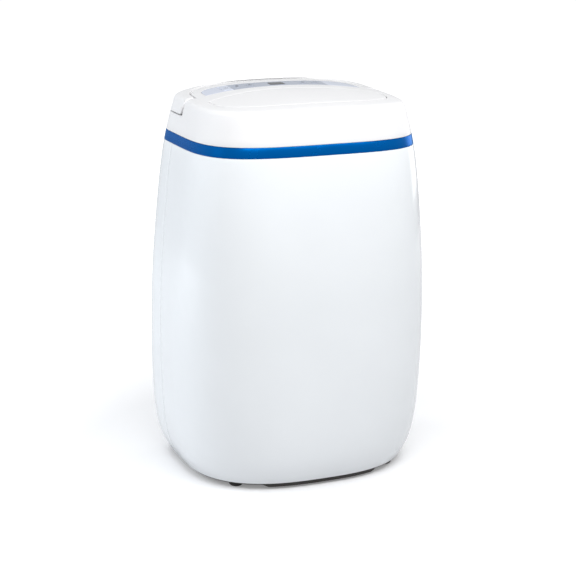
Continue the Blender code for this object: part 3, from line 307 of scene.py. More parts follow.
def filled(loops, spacing):
    """Places and triangles that fill the area between loops."""
    low, high = loops[0].min(axis=0), loops[0].max(axis=0)
    rows = np.arange(low[1] + spacing / 2, high[1], spacing)
    grid = []
    for k, v in enumerate(rows):
        columns = np.arange(low[0] + spacing * (0.25 + 0.5 * (k % 2)), high[0], spacing)
        grid += [(u, v) for u in columns]
    grid = np.array(grid).reshape(-1, 2)
    grid = grid[is_inside(grid, loops)] if len(grid) else grid
    border = np.concatenate(loops)
    tree = kdtree.KDTree(len(border))
    for k, (u, v) in enumerate(border):
        tree.insert((u, v, 0.0), k)
    tree.balance()
    grid = [p for p in grid if tree.find((p[0], p[1], 0.0))[2] > 0.6 * spacing]
    places = np.concatenate((border, np.array(grid).reshape(-1, 2)))
    edges, base = [], 0
    for loop in loops:
        size = len(loop)
        edges += [(base + k, base + (k + 1) % size) for k in range(size)]
        base += size
    made = delaunay_2d_cdt([Vector(p) for p in places], edges, [], 1, 1e-8)
    places = np.array([tuple(v) for v in made[0]])
    triangles = np.array([tuple(f) for f in made[2]])
    in_hole = is_inside(places[triangles].mean(axis=1), loops[1:])
    return places, triangles[~in_hole].tolist()


# ---------------------------------------------------------------- mesh making


class Builder:
    """Collects points and faces, then welds them into one mesh object."""

    def __init__(self):
        self.points = []
        self.faces = []

    def add(self, points):
        start = len(self.points)
        self.points += [tuple(float(c) for c in p) for p in points]
        return list(range(start, start + len(points)))

    def strip(self, lower, upper, closed=True):
        """Quads between two rows, facing out when lower runs anticlockwise below upper."""
        size = len(lower)
        for k in range(size if closed else size - 1):
            n = (k + 1) % size
            self.faces.append((lower[k], lower[n], upper[n], upper[k]))

    def rows(self, rows, closed=True):
        indices = [self.add(row) for row in rows]
        for lower, upper in zip(indices, indices[1:]):
            self.strip(lower, upper, closed)
        return indices

    def fill(self, surface, loops, spacing, inset=0.0, flip=False):
        """Covers the area between loops with triangles that follow a surface."""
        places, triangles = filled(loops, spacing)
        start = len(self.points)
        self.add(surface(places, inset))
        for face in triangles:
            face = tuple(start + k for k in face)
            self.faces.append(face[::-1] if flip else face)

    def finish(self, name, material, outward=False):
        mesh = bpy.data.meshes.new(name)
        mesh.from_pydata(self.points, [], self.faces)
        bm = bmesh.new()
        bm.from_mesh(mesh)
        bmesh.ops.remove_doubles(bm, verts=bm.verts, dist=WELD)
        bmesh.ops.dissolve_degenerate(bm, edges=bm.edges, dist=WELD)
        if outward:
            bmesh.ops.recalc_face_normals(bm, faces=bm.faces)
        bm.to_mesh(mesh)
        bm.free()
        mesh.shade_smooth()
        mesh.set_sharp_from_angle(angle=SHARP_ANGLE)
        mesh.materials.append(material)
        obj = bpy.data.objects.new(name, mesh)
        bpy.context.scene.collection.objects.link(obj)
        return obj


def edge_rings(loop, radius, depth):
    """(loop, inset) pairs from the foot of an edge up round its fillet to the surface."""
    steps = 4
    rings = [(loop, depth)]
    for k in range(steps + 1):
        bend = math.pi / 2 * k / steps
        rings.append(
            (moved_left(loop, radius * (1 - math.cos(bend))), radius * (1 - math.sin(bend)))
        )
    return rings


def skin(builder, surface, outer, holes, depth, radius, spacing, back=None):
    """A closed plate with rounded edges and holes. Its back follows the surface, unless given."""
    under = back or surface
    loops = [wound(outer, True)] + [wound(hole, False) for hole in holes]
    inner = []
    for loop in loops:
        rings = edge_rings(loop, radius, depth)
        foot = under(loop, depth)
        builder.rows([foot] + [surface(places, inset) for places, inset in rings[1:]])
        inner.append(rings[-1][0])
        builder.rows([under(inner[-1], depth), foot])
    builder.fill(surface, inner, spacing)
    builder.fill(under, inner, spacing, depth, flip=True)


def section_loft(builder, sections):
    """A closed tube through equal sections, capped by flat faces at both ends."""
    indices = [builder.add(section) for section in sections]
    for a, b in zip(indices, indices[1:]):
        builder.strip(a, b)
    builder.faces.append(tuple(indices[0][::-1]))
    builder.faces.append(tuple(indices[-1]))


def turned(builder, base, axis, profile, segments):
    """A turned solid. profile is (radius, distance along the axis), closed at both ends."""
    axis = Vector(axis).normalized()
    side = axis.cross(Vector((0, 0, 1)) if abs(axis.z) < 0.9 else Vector((1, 0, 0))).normalized()
    up = axis.cross(side)
    rows = []
    for radius, along in profile:
        centre = Vector(base) + axis * along
        rows.append(
            [
                centre + side * (radius * math.cos(t)) + up * (radius * math.sin(t))
                for t in np.linspace(0, 2 * math.pi, segments, endpoint=False)
            ]
        )
    rings = builder.rows(rows)
    if profile[0] != profile[-1]:
        builder.faces += [tuple(rings[0][::-1]), tuple(rings[-1])]


def rounded_loop(low, high, radius, step=LINE_STEP, corner_steps=8):
    """A rectangle with round corners, anticlockwise."""
    points = []
    middle = ((low[0] + high[0]) / 2, (low[1] + high[1]) / 2)
    for quarter, (x, y) in enumerate(
        ((high[0], high[1]), (low[0], high[1]), (low[0], low[1]), (high[0], low[1]))
    ):
        cx = x - math.copysign(radius, x - middle[0])
        cy = y - math.copysign(radius, y - middle[1])
        for k in range(corner_steps + 1):
            t = math.pi / 2 * (quarter + k / corner_steps)
            points.append((cx + radius * math.cos(t), cy + radius * math.sin(t)))
    return spaced(points, step)


def circle_loop(x, y, radius, count=48):
    turn = np.linspace(0, 2 * np.pi, count, endpoint=False)
    return np.stack((x + radius * np.cos(turn), y + radius * np.sin(turn)), -1)


# ---------------------------------------------------------------- materials


def new_material(name):
    material = bpy.data.materials.new(name)
    material.use_nodes = True
    tree = material.node_tree
    return material, tree.nodes, tree.links, tree.nodes["Principled BSDF"]


def noise(nodes, links, scale, detail):
    """A noise texture in the object's own metres."""
    place = nodes.new("ShaderNodeTexCoord")
    texture = nodes.new("ShaderNodeTexNoise")
    texture.inputs["Scale"].default_value = scale
    texture.inputs["Detail"].default_value = detail
    links.new(place.outputs["Object"], texture.inputs["Vector"])
    return texture


def spread_value(nodes, links, source, low, high):
    """A texture's value spread over a range."""
    spread = nodes.new("ShaderNodeMapRange")
    spread.inputs["From Min"].default_value = 0.3
    spread.inputs["From Max"].default_value = 0.7
    spread.inputs["To Min"].default_value = low
    spread.inputs["To Max"].default_value = high
    links.new(source, spread.inputs["Value"])
    return spread.outputs["Result"]


def tinted(nodes, links, shader, colour, share, scale):
    """The base colour, varied a little over the surface."""
    mix = nodes.new("ShaderNodeMix")
    mix.data_type = "RGBA"
    mix.inputs["A"].default_value = (*colour, 1.0)
    mix.inputs["B"].default_value = (*(c * share for c in colour), 1.0)
    texture = noise(nodes, links, scale, 4.0)
    links.new(spread_value(nodes, links, texture.outputs["Fac"], 0.0, 1.0), mix.inputs["Factor"])
    links.new(mix.outputs["Result"], shader.inputs["Base Color"])


def bumped(nodes, links, shader, height, strength, distance, before=None):
    bump = nodes.new("ShaderNodeBump")
    bump.inputs["Strength"].default_value = strength
    bump.inputs["Distance"].default_value = distance
    links.new(height, bump.inputs["Height"])
    if before:
        links.new(before, bump.inputs["Normal"])
    links.new(bump.outputs["Normal"], shader.inputs["Normal"])
    return bump.outputs["Normal"]


def moulded(name, colour, roughness, peel, grain=0.0, coat=0.0, flake=0.0, gleam=WHITE):
    """Injection-moulded plastic: faint flow waves, optional fine grain and metal flake."""
    material, nodes, links, shader = new_material(name)
    tinted(nodes, links, shader, colour, 0.975, 9.0)
    shader.inputs["Metallic"].default_value = flake
    shader.inputs["Specular Tint"].default_value = (*gleam, 1.0)
    shader.inputs["Coat Weight"].default_value = coat
    shader.inputs["Coat Roughness"].default_value = 0.06
    marks = noise(nodes, links, 38.0, 6.0)
    rough = spread_value(nodes, links, marks.outputs["Fac"], roughness * 0.85, roughness * 1.2)
    links.new(rough, shader.inputs["Roughness"])
    waves = noise(nodes, links, 60.0, 1.0)
    normal = bumped(nodes, links, shader, waves.outputs["Fac"], peel, 0.0010)
    if grain:
        fine = noise(nodes, links, 2600.0, 2.0)
        bumped(nodes, links, shader, fine.outputs["Fac"], grain, 0.00015, normal)
    return material


def printed_panel(name, colour, middle):
    """Glossy plastic with a darker field printed behind it across the middle."""
    material, nodes, links, shader = new_material(name)
    place = nodes.new("ShaderNodeTexCoord")
    split = nodes.new("ShaderNodeSeparateXYZ")
    links.new(place.outputs["Object"], split.inputs["Vector"])
    size = nodes.new("ShaderNodeMath")
    size.operation = "ABSOLUTE"
    links.new(split.outputs["X"], size.inputs[0])
    field = nodes.new("ShaderNodeMapRange")
    field.inputs["From Min"].default_value = PRINT_HALF_WIDTH - PRINT_BLUR
    field.inputs["From Max"].default_value = PRINT_HALF_WIDTH + PRINT_BLUR
    links.new(size.outputs["Value"], field.inputs["Value"])
    mix = nodes.new("ShaderNodeMix")
    mix.data_type = "RGBA"
    mix.inputs["A"].default_value = (*middle, 1.0)
    mix.inputs["B"].default_value = (*colour, 1.0)
    links.new(field.outputs["Result"], mix.inputs["Factor"])
    links.new(mix.outputs["Result"], shader.inputs["Base Color"])
    marks = noise(nodes, links, 60.0, 6.0)
    links.new(
        spread_value(nodes, links, marks.outputs["Fac"], 0.10, 0.18), shader.inputs["Roughness"]
    )
    waves = noise(nodes, links, 60.0, 1.0)
    bumped(nodes, links, shader, waves.outputs["Fac"], 0.03, 0.001)
    return material


def rubber(name, colour):
    material, nodes, links, shader = new_material(name)
    tinted(nodes, links, shader, colour, 0.7, 60.0)
    dust = noise(nodes, links, 240.0, 6.0)
    links.new(
        spread_value(nodes, links, dust.outputs["Fac"], 0.55, 0.85), shader.inputs["Roughness"]
    )
    fine = noise(nodes, links, 1800.0, 3.0)
    bumped(nodes, links, shader, fine.outputs["Fac"], 0.25, 0.0002)
    return material


def metal(name, colour, roughness, streak):
    """Drawn or rolled metal with fine lines along one direction."""
    material, nodes, links, shader = new_material(name)
    tinted(nodes, links, shader, colour, 0.82, 30.0)
    shader.inputs["Metallic"].default_value = 1.0
    place = nodes.new("ShaderNodeTexCoord")
    stretch = nodes.new("ShaderNodeMapping")
    stretch.inputs["Scale"].default_value = (900.0, 900.0, 900.0 * (1.0 - streak))
    lines = nodes.new("ShaderNodeTexNoise")
    lines.inputs["Scale"].default_value = 1.0
    links.new(place.outputs["Object"], stretch.inputs["Vector"])
    links.new(stretch.outputs["Vector"], lines.inputs["Vector"])
    links.new(
        spread_value(nodes, links, lines.outputs["Fac"], roughness * 0.7, roughness * 1.3),
        shader.inputs["Roughness"],
    )
    bumped(nodes, links, shader, lines.outputs["Fac"], 0.10, 0.0001)
    return material


def clear_plastic(name, colour):
    material, nodes, links, shader = new_material(name)
    tinted(nodes, links, shader, colour, 0.93, 12.0)
    shader.inputs["Transmission Weight"].default_value = 0.75
    shader.inputs["IOR"].default_value = 1.46
    haze = noise(nodes, links, 90.0, 4.0)
    links.new(
        spread_value(nodes, links, haze.outputs["Fac"], 0.20, 0.30), shader.inputs["Roughness"]
    )
    waves = noise(nodes, links, 18.0, 1.0)
    bumped(nodes, links, shader, waves.outputs["Fac"], 0.02, 0.001)
    return material


def woven(name, colour):
    """Filter gauze: a fine square weave."""
    material, nodes, links, shader = new_material(name)
    tinted(nodes, links, shader, colour, 0.75, 25.0)
    shader.inputs["Roughness"].default_value = 0.75
    place = nodes.new("ShaderNodeTexCoord")
    heights = []
    for direction in ("X", "Z"):
        wave = nodes.new("ShaderNodeTexWave")
        wave.bands_direction = direction
        wave.inputs["Scale"].default_value = 150.0
        links.new(place.outputs["Object"], wave.inputs["Vector"])
        heights.append(wave.outputs["Fac"])
    most = nodes.new("ShaderNodeMath")
    most.operation = "MAXIMUM"
    for k, height in enumerate(heights):
        links.new(height, most.inputs[k])
    bumped(nodes, links, shader, most.outputs["Value"], 0.7, 0.0006)
    return material


MATERIALS = {
    "gloss_white": moulded("Gloss white moulding", (0.83, 0.853, 0.872), 0.16, 0.035, coat=0.25),
    "satin_white": moulded("Satin white moulding", (0.815, 0.81, 0.815), 0.34, 0.05, 0.10),
    "gloss_blue": moulded(
        "Metallic blue trim", (0.0, 0.112, 0.42), 0.24, 0.03, flake=0.6, gleam=(0.0, 0.6, 1.0)
    ),
    "lavender": printed_panel("Lavender panel", (0.62, 0.66, 0.77), (0.40, 0.435, 0.52)),
    "smoked": moulded("Smoked display lens", (0.016, 0.017, 0.026), 0.08, 0.02, coat=0.3),
    "grey_plastic": moulded("Grey moulding", (0.30, 0.31, 0.33), 0.50, 0.08, 0.25),
    "dark_plastic": moulded("Black-brown moulding", (0.022, 0.018, 0.016), 0.42, 0.08, 0.25),
    "rubber": rubber("Black rubber", (0.022, 0.018, 0.016)),
    "clear_plastic": clear_plastic("Translucent tank plastic", (0.70, 0.82, 0.90)),
    "steel": metal("Zinc-plated steel", (0.56, 0.57, 0.59), 0.36, 0.9),
    "aluminium": metal("Bare aluminium", (0.76, 0.77, 0.79), 0.32, 0.95),
    "copper": metal("Copper tube", (0.72, 0.36, 0.22), 0.28, 0.6),
    "black_enamel": moulded("Black enamelled steel", (0.012, 0.012, 0.013), 0.28, 0.10),
    "circuit_green": moulded("Circuit board", (0.015, 0.14, 0.05), 0.40, 0.05, 0.2),
    "mesh_grey": woven("Filter gauze", (0.07, 0.075, 0.085)),
}


# ---------------------------------------------------------------- pieces


def piece(builder, name, body, slot, nodes, outward=False):
    """Finishes a mesh as a piece that rides on a body and replaces CAD nodes."""
    obj = builder.finish(name, MATERIALS[slot], outward)
    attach(obj, body)
    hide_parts(*nodes)
    return obj


def add_box(builder, low, high):
    (x0, y0, z0), (x1, y1, z1) = low, high
    rows = [[(x0, y0, z), (x1, y0, z), (x1, y1, z), (x0, y1, z)] for z in (z0, z1)]
    section_loft(builder, rows)


def shell_loop(start, end):
    """The edge of a shell between two seams, as (length along the outline, height)."""
    heights = np.linspace(SHELL_BOTTOM, SHELL_TOP, 140)
    first, last = arc_of(start(heights)), arc_of(end(heights))
    across = 160
    bottom = np.linspace(first[0], last[0], across)
    top = np.linspace(last[-1], first[-1], across)
    sides = (
        np.stack((bottom[:-1], np.full(across - 1, SHELL_BOTTOM)), -1),
        np.stack((last[:-1], heights[:-1]), -1),
        np.stack((top[:-1], np.full(across - 1, SHELL_TOP)), -1),
        np.stack((first[:0:-1], heights[:0:-1]), -1),
    )
    return np.concatenate(sides)


def seam_angle(z, y):
    """The direction in which the right seam, at y, meets the casing."""
    return np.arctan2(y - WIDEST_Y, half_width(z))


def nodes_named(start):
    return [name for name in frame["nodes"] if name.startswith(start)]


def add_screw_tabs(builder, outward):
    """Tabs inside the foot of a shell, for the screws that hold the base pan."""
    half_tab, past_screw, bottom, top = 0.005, 0.006, 0.0128, 0.0175
    for name in nodes_named("base_screw"):
        low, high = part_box(name)
        x, y = (low.x + high.x) / 2, (low.y + high.y) / 2
        if (y > SEAM_Y) != (outward > 0):
            continue
        angle = math.atan2(y - WIDEST_Y, x)
        reach = float(casing(angle, 0.015, 0.0015)[1])
        y0, y1 = sorted((y - outward * past_screw, reach))
        add_box(builder, (x - half_tab, y0, bottom), (x + half_tab, y1, top))


def make_front_shell():
    builder = Builder()
    y = SEAM_Y - GAP / 2
    loop = shell_loop(lambda z: -np.pi - seam_angle(z, y), lambda z: seam_angle(z, y))
    skin(builder, wall_surface, loop, (), WALL, 0.0007, 0.006)
    add_screw_tabs(builder, -1)
    piece(builder, "front_shell_moulding", "casing", "gloss_white", ["front_shell"])


def rear_places(loop):
    """(x, height) on the back as (length along the outline, height)."""
    return np.stack((arc_of(rear_angle(loop[:, 0], loop[:, 1])), loop[:, 1]), -1)


def panel_loop(node, margin=0.0):
    """The outline of a rear panel, as (x, height), grown by a margin."""
    low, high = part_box(node)
    near = (low.x - margin, low.z - margin)
    far = (high.x + margin, high.z + margin)
    return rounded_loop(near, far, PANEL_CORNER + margin)


def middle_of(node):
    low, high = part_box(node)
    return (low + high) / 2


def make_rear_shell():
    builder = Builder()
    y = SEAM_Y + GAP / 2
    loop = shell_loop(lambda z: seam_angle(z, y), lambda z: np.pi - seam_angle(z, y))
    gland, plug = middle_of("cord_gland"), middle_of("drain_plug")
    holes = [
        panel_loop("tank_face", PANEL_GAP),
        panel_loop("intake_grille", PANEL_GAP),
        circle_loop(gland.x, gland.z, GLAND_HOLE_RADIUS),
        circle_loop(plug.x, plug.z, PLUG_HOLE_RADIUS),
    ]
    skin(builder, wall_surface, loop, [rear_places(hole) for hole in holes], WALL, 0.0006, 0.005)
    add_screw_tabs(builder, 1)
    piece(builder, "rear_shell_moulding", "casing", "gloss_white", ["rear_shell"])


def make_band():
    builder = Builder()
    angles = np.linspace(-np.pi, np.pi, 480, endpoint=False)
    edge, thickness = 0.0004, 0.0026
    section = (
        (BAND_BOTTOM, thickness), (BAND_BOTTOM, edge), (BAND_BOTTOM + edge * 0.3, edge * 0.3),
        (BAND_BOTTOM + edge, 0.0), (BAND_TOP - edge, 0.0), (BAND_TOP - edge * 0.3, edge * 0.3),
        (BAND_TOP, edge), (BAND_TOP, thickness), (BAND_BOTTOM, thickness),
    )
    builder.rows([casing(angles, z, inset) for z, inset in section])
    piece(builder, "trim_band_ring", "casing", "gloss_blue", ["trim_band"])


def edge_angle(row, y):
    """Where the right side of a row of points crosses a plane of constant y."""
    low, high = -0.4, 0.3
    for _ in range(40):
        middle = (low + high) / 2
        if row(np.array([middle]))[0][1] < y:
            low = middle
        else:
            high = middle
    return middle


def front_row(row):
    """The stretch of a row of the casing that lies in front of the channel."""
    edge = edge_angle(row, CHANNEL_FRONT_Y)
    return row(np.linspace(-np.pi - edge, edge, ROW_POINTS))


def rear_row(row):
    edge = edge_angle(row, CHANNEL_FRONT_Y)
    return row(np.linspace(edge, np.pi - edge, ROW_POINTS))


def plateau(direction, half_x, depth_y):
    """The edge of the island, of its ledge or of the handle's inside, in plan."""
    c, s = np.cos(direction), np.sin(direction)
    n = PLATEAU_EXPONENT
    radius = (np.abs(c / half_x) ** n + np.abs(s / depth_y) ** n) ** (-1 / n)
    return np.stack((radius * c, WIDEST_Y + radius * s), -1)


def island_line(inset, shape=ISLAND):
    """The island's or its ledge's edge from the front right round the back, moved in by inset."""
    arc = plateau(np.linspace(0.0, np.pi, 181), *shape)
    line = np.concatenate(([(shape[0], CHANNEL_FRONT_Y)], arc, [(-shape[0], CHANNEL_FRONT_Y)]))
    along = np.gradient(line, axis=0)
    along /= np.linalg.norm(along, axis=1)[:, None]
    along[[0, -1]] = ((0.0, 1.0), (0.0, -1.0))
    return line + np.stack((-along[:, 1], along[:, 0]), -1) * inset


def lens(half, front, rear):
    """An even outline from its front and rear edges, each a function of |x| / half."""
    across = -half * np.cos(np.linspace(0.0, np.pi, 400))
    share = np.clip(np.abs(across / half), 0.0, 1.0)
    near, far = np.stack((across, front(share)), -1), np.stack((across, rear(share)), -1)
    return evened(np.concatenate((near, far[-2:0:-1])), 0.002)


def flap_outline(grow):
    near, far = FLAP_FRONT_DEPTH + grow, FLAP_REAR_DEPTH + grow
    return lens(
        FLAP_HALF_WIDTH + grow,
        lambda share: FLAP_TIP_Y - near * (1 - share**3.5) ** (1 / 3.5),
        lambda share: FLAP_TIP_Y + far * (1 - share**2.2),
    )


def fascia_outline(grow):
    far = FASCIA_REAR_DEPTH + grow
    return lens(
        FASCIA_HALF_WIDTH + grow,
        lambda share: FASCIA_END_Y - grow + FASCIA_FRONT_BOW * (1 - share**2),
        lambda share: FASCIA_END_Y + far * (1 - share**4.5) ** (1 / 4.5),
    )


def channel_floor(places, inset):
    """Maps a plan position to the floor of the handle's channel."""
    return np.column_stack((places, np.full(len(places), CHANNEL_FLOOR - inset)))


def make_cover():
    """A wall all round with the deck on it and the handle's channel behind, thickened inward."""
    builder = Builder()
    sill = BAND_TOP + GAP
    edge, fillet = 0.0005, 0.0008
    below_floor, above_floor = 0.4400, 0.4600
    side_rows = [(sill, edge), (sill + edge * 0.3, edge * 0.3), (sill + edge, 0.0)]
    side_rows.append((below_floor, 0.0))
    rising = [lambda a, z=z, d=d: casing(a, z, d) for z, d in side_rows + [(CHANNEL_FLOOR, 0.0)]]
    lower_front = [front_row(row) for row in rising]
    builder.rows(lower_front, closed=False)
    builder.rows([rear_row(row) for row in rising], closed=False)
    upper = [lambda a: casing(a, above_floor, 0.0)]
    upper += [lambda a, t=t: shoulder(a, t) for t in np.linspace(0.0, 1.0, 10).tolist()]
    upper_front = [front_row(row) for row in upper]
    builder.rows([lower_front[-1]] + upper_front, closed=False)

    rim = upper_front[-1][:, :2]
    inner = island_line(fillet)
    right_line = spaced([rim[-1], inner[0]], LINE_STEP, closed=False)
    left_line = spaced([inner[-1], rim[0]], LINE_STEP, closed=False)
    deck = np.concatenate((rim[:-1], right_line[:-1], inner[:-1], left_line[:-1]))

    profile = []
    for bend in np.linspace(math.pi / 2, 0.0, 5):
        drop = fillet * (1 - math.sin(bend))
        profile.append(deck_surface(island_line(fillet * (1 - math.cos(bend))), drop))
    ledge = island_line(0.0, LEDGE)
    profile.append(deck_surface(island_line(0.0), LEDGE_DROP))
    for bend in np.linspace(math.pi / 2, 0.0, 4):
        drop = LEDGE_DROP + edge * (1 - math.sin(bend))
        profile.append(deck_surface(island_line(edge * (1 - math.cos(bend)), LEDGE), drop))
    profile.append(channel_floor(ledge, 0.0))
    builder.rows(profile[::-1], closed=False)

    outline = rear_row(rising[-1])[:, :2]
    left_floor = spaced([outline[-1], ledge[-1]], LINE_STEP, closed=False)
    right_floor = spaced([ledge[0], outline[0]], LINE_STEP, closed=False)
    end_walls = ((-1, right_line, right_floor), (0, left_line[::-1], left_floor[::-1]))
    for column, line, sill_line in end_walls:
        outside = [lower_front[-1][column]] + [row[column] for row in upper_front]
        across = list(deck_surface(line[1:], 0.0))
        down = [row[-1 - column] for row in profile[1:]]
        along = list(np.insert(sill_line[1:-1], 2, CHANNEL_FLOOR, axis=1))
        wall = builder.add(outside + across + down + along)
        builder.faces.append(tuple(wall) if column else tuple(wall[::-1]))
    floor = np.concatenate((outline[:-1], left_floor[:-1], ledge[::-1][:-1], right_floor[:-1]))
    builder.fill(channel_floor, [floor], 0.004)

    loops = [deck]
    for opening, radius, level in (
        (flap_outline(FLAP_CLEARANCE), 0.0006, COLLAR_BOTTOM),
        (fascia_outline(GAP), 0.0003, None),
    ):
        rings = edge_rings(wound(opening, False), radius, COLLAR_DEPTH)
        rows = [deck_surface(places, inset) for places, inset in rings]
        if level:
            rows[0][:, 2] = level
        builder.rows(rows)
        loops.append(rings[-1][0])
    builder.fill(deck_surface, loops, 0.004)
    cover = piece(builder, "top_cover_moulding", "casing", "satin_white", ["top_cover"])
    shell = cover.modifiers.new("wall", "SOLIDIFY")
    shell.thickness = COVER_WALL
    shell.offset = -1.0


def rounded_nose(points, side):
    """Cuts the front of an arm to a cylinder about the pivot. side is the distance to its flank."""
    pivot_y, pivot_z = HANDLE_PIVOT
    edge = 0.0010
    reach = HANDLE_NOSE - edge + math.sqrt(edge**2 - (edge - min(side, edge)) ** 2)
    points[:, 1] = np.maximum(points[:, 1], pivot_y - reach)
    ahead = np.minimum(points[:, 1] - pivot_y, 0.0)
    half = np.where(ahead < 0, np.sqrt(np.maximum(reach**2 - ahead**2, 0.0)), 1.0)
    points[:, 2] = np.clip(points[:, 2], pivot_z - half, pivot_z + half)
    return points


def make_handle():
    """The bail lies flush round the rear rim and turns about its two front ends."""
    builder = Builder()
    edge = math.atan2(HANDLE_FRONT_Y - WIDEST_Y, float(half_width(0.46)))
    first, last = arc_of(edge), arc_of(math.pi - edge)
    setback, nose_length, nose_points = 5e-5, 0.014, 30
    near = setback + nose_length * (np.arange(nose_points) / nose_points) ** 2
    middle = np.linspace(nose_length, last - first - nose_length, 220)
    arcs = first + np.concatenate((near, middle, (last - first - near)[::-1]))
    angles = np.interp(arcs, TABLE_ARC, TABLE_ANGLES)
    outline = casing(angles, 0.470)
    directions = np.arctan2(outline[:, 1] - WIDEST_Y, outline[:, 0])
    inner = plateau(directions, *HANDLE_INNER)
    toward = outline[:, :2] - inner
    toward /= np.linalg.norm(toward, axis=1)[:, None]
    low_edge, high_edge = 0.0008, 0.0012
    bends = np.linspace(math.pi / 2, 0.0, 5)
    rows = []
    for bend in bends:
        inset = low_edge * (1 - math.cos(bend))
        z = HANDLE_BOTTOM + low_edge * (1 - math.sin(bend))
        rows.append((casing(angles, z, inset), inset))
    rows += [(casing(angles, z), 0.0) for z in (0.4600, 0.4620, 0.4640, 0.4655, 0.4670)]
    for turn in np.linspace(0.0, 1.0, 10).tolist():
        rows.append((shoulder(angles, turn), SHOULDER_RADIUS * (1 - math.cos(turn * math.pi / 2))))
    rim = rows[-1][0][:, :2]
    for share in (0.25, 0.5, 0.75):
        place = rim + (inner + toward * high_edge - rim) * share
        rows.append((deck_surface(place, 0.0), 1.0))
    for bend in bends:
        inset = high_edge * (1 - math.cos(bend))
        place = inner + toward * inset
        rows.append((deck_surface(place, high_edge * (1 - math.sin(bend))), inset))
    for bend in bends[::-1]:
        inset = low_edge * (1 - math.cos(bend))
        z = np.full(len(inner), HANDLE_BOTTOM + low_edge * (1 - math.sin(bend)))
        rows.append((np.column_stack((inner + toward * inset, z)), inset))
    rows = [rounded_nose(points, side) for points, side in rows]
    section_loft(builder, [[row[k] for row in rows] for k in range(len(angles))])
    piece(builder, "carry_handle_bail", "handle", "satin_white", ["carry_handle"], outward=True)


def make_flap():
    builder = Builder()
    skin(builder, deck_surface, flap_outline(0.0), (), 0.0025, 0.0006, 0.004)
    y, z = FLAP_PIVOT
    lug_inner, lug_middle, lug_outer = 0.1000, 0.1015, 0.1030
    half_lug, lug_below, lug_above = 0.004, 0.003, 0.0045
    stub = ((0.0021, 0.0), (0.0021, 0.0121), (0.0017, 0.0125))
    for side in (-1, 1):
        x0, x1 = sorted((side * lug_inner, side * lug_outer))
        add_box(builder, (x0, y - half_lug, z - lug_below), (x1, y + half_lug, z + lug_above))
        turned(builder, (side * lug_middle, y, z), (side, 0, 0), stub, 24)
    piece(builder, "outlet_flap_louvre", "flap", "satin_white", ["outlet_flap"])


def raised(height):
    """The top surface, moved up by height."""
    return lambda places, inset: deck_surface(places, inset - height)


def key_loop(node, margin=0.0):
    """Outline of a key's cap or of the display, from its place in the frame."""
    if node in ROUND_KEYS:
        centre = middle_of(node)
        return circle_loop(centre.x, centre.y, ROUND_KEY_RADIUS + margin)
    low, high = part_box(node)
    less = 0.0 if node == "display_window" else KEY_FLANGE
    near = (low.x + less - margin, low.y + less - margin)
    far = (high.x - less + margin, high.y - less + margin)
    return rounded_loop(near, far, KEY_CORNER, 0.0008)


def key_body(key):
    return "key_" + key.removesuffix("_key")


def make_fascia():
    builder = Builder()
    holes = [key_loop(key, KEY_CLEARANCE) for key in ALL_KEYS]
    holes.append(key_loop("display_window", GAP))
    skin(builder, deck_surface, fascia_outline(0.0), holes, 0.003, 0.0003, 0.004)
    piece(builder, "control_fascia_panel", "casing", "lavender", ["control_fascia"])
    builder = Builder()
    skin(builder, raised(0.0001), key_loop("display_window"), (), 0.003, 0.0002, 0.003)
    piece(builder, "display_lens", "casing", "smoked", ["display_window"])
    for key in ALL_KEYS:
        builder = Builder()
        skin(builder, raised(0.0003), key_loop(key), (), 0.0055, 0.0005, 0.0015)
        piece(builder, key + "_cap", key_body(key), "lavender", [key])


def arch_loop(x, y, radius, gap):
    """A part ring, open at the top by the angle gap."""
    turn = np.linspace(math.pi / 2 + gap / 2, 2.5 * math.pi - gap / 2, 40)
    ring = np.stack((np.cos(turn), np.sin(turn)), -1)
    both = np.concatenate(((radius - STROKE) * ring, radius * ring[::-1]))
    return wound(both + (x, y), True)


def drop_loop(x, y, size):
    """A water drop, its point to the rear."""
    turn = np.linspace(0, 2 * np.pi, 40, endpoint=False)
    across = np.cos(turn) * np.where(np.sin(turn) > 0, (1 - np.sin(turn) ** 2) ** 0.35, 1.0)
    along = np.where(np.sin(turn) > 0, 1.7, 1.0) * np.sin(turn)
    return np.stack((x + 0.62 * size * across, y + size * (0.62 * along - 0.22)), -1)


def power_symbol(x, y):
    half = STROKE / 2
    bar = rounded_loop((x - half, y), (x + half, y + 0.0028), 0.0002, 0.0002, 3)
    return [arch_loop(x, y, 0.0026, 1.3), bar], []


def rotor_symbol(x, y):
    reach, blade = 0.0017, 0.0011
    blades = [
        circle_loop(x + reach * math.cos(turn), y + reach * math.sin(turn), blade, 24)
        for turn in (math.pi / 2, math.pi * 7 / 6, math.pi * 11 / 6)
    ]
    return blades, []


# The outlines and the holes of each key's symbol.
SYMBOLS = {
    "mode_key": lambda x, y: ([drop_loop(x, y, 0.0034)], []),
    "fan_speed_key": rotor_symbol,
    "humidity_key": lambda x, y: ([drop_loop(x, y, 0.0034)], [drop_loop(x, y, 0.0022)]),
    "timer_key": lambda x, y: ([circle_loop(x, y, 0.0027)], [circle_loop(x, y, 0.0022)]),
    "power_key": power_symbol,
}


def make_key_print():
    """Plain symbols inlaid in the keys: drop, rotor, drop outline, ring and power."""
    thickness = 0.00035
    for key, symbol in SYMBOLS.items():
        low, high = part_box(key)
        outlines, holes = symbol((low.x + high.x) / 2, (low.y + high.y) / 2)
        builder = Builder()
        for outline in outlines:
            skin(builder, raised(thickness), outline, holes, thickness, 0.00004, 0.0008)
        piece(builder, key + "_symbol", key_body(key), "dark_plastic", [])


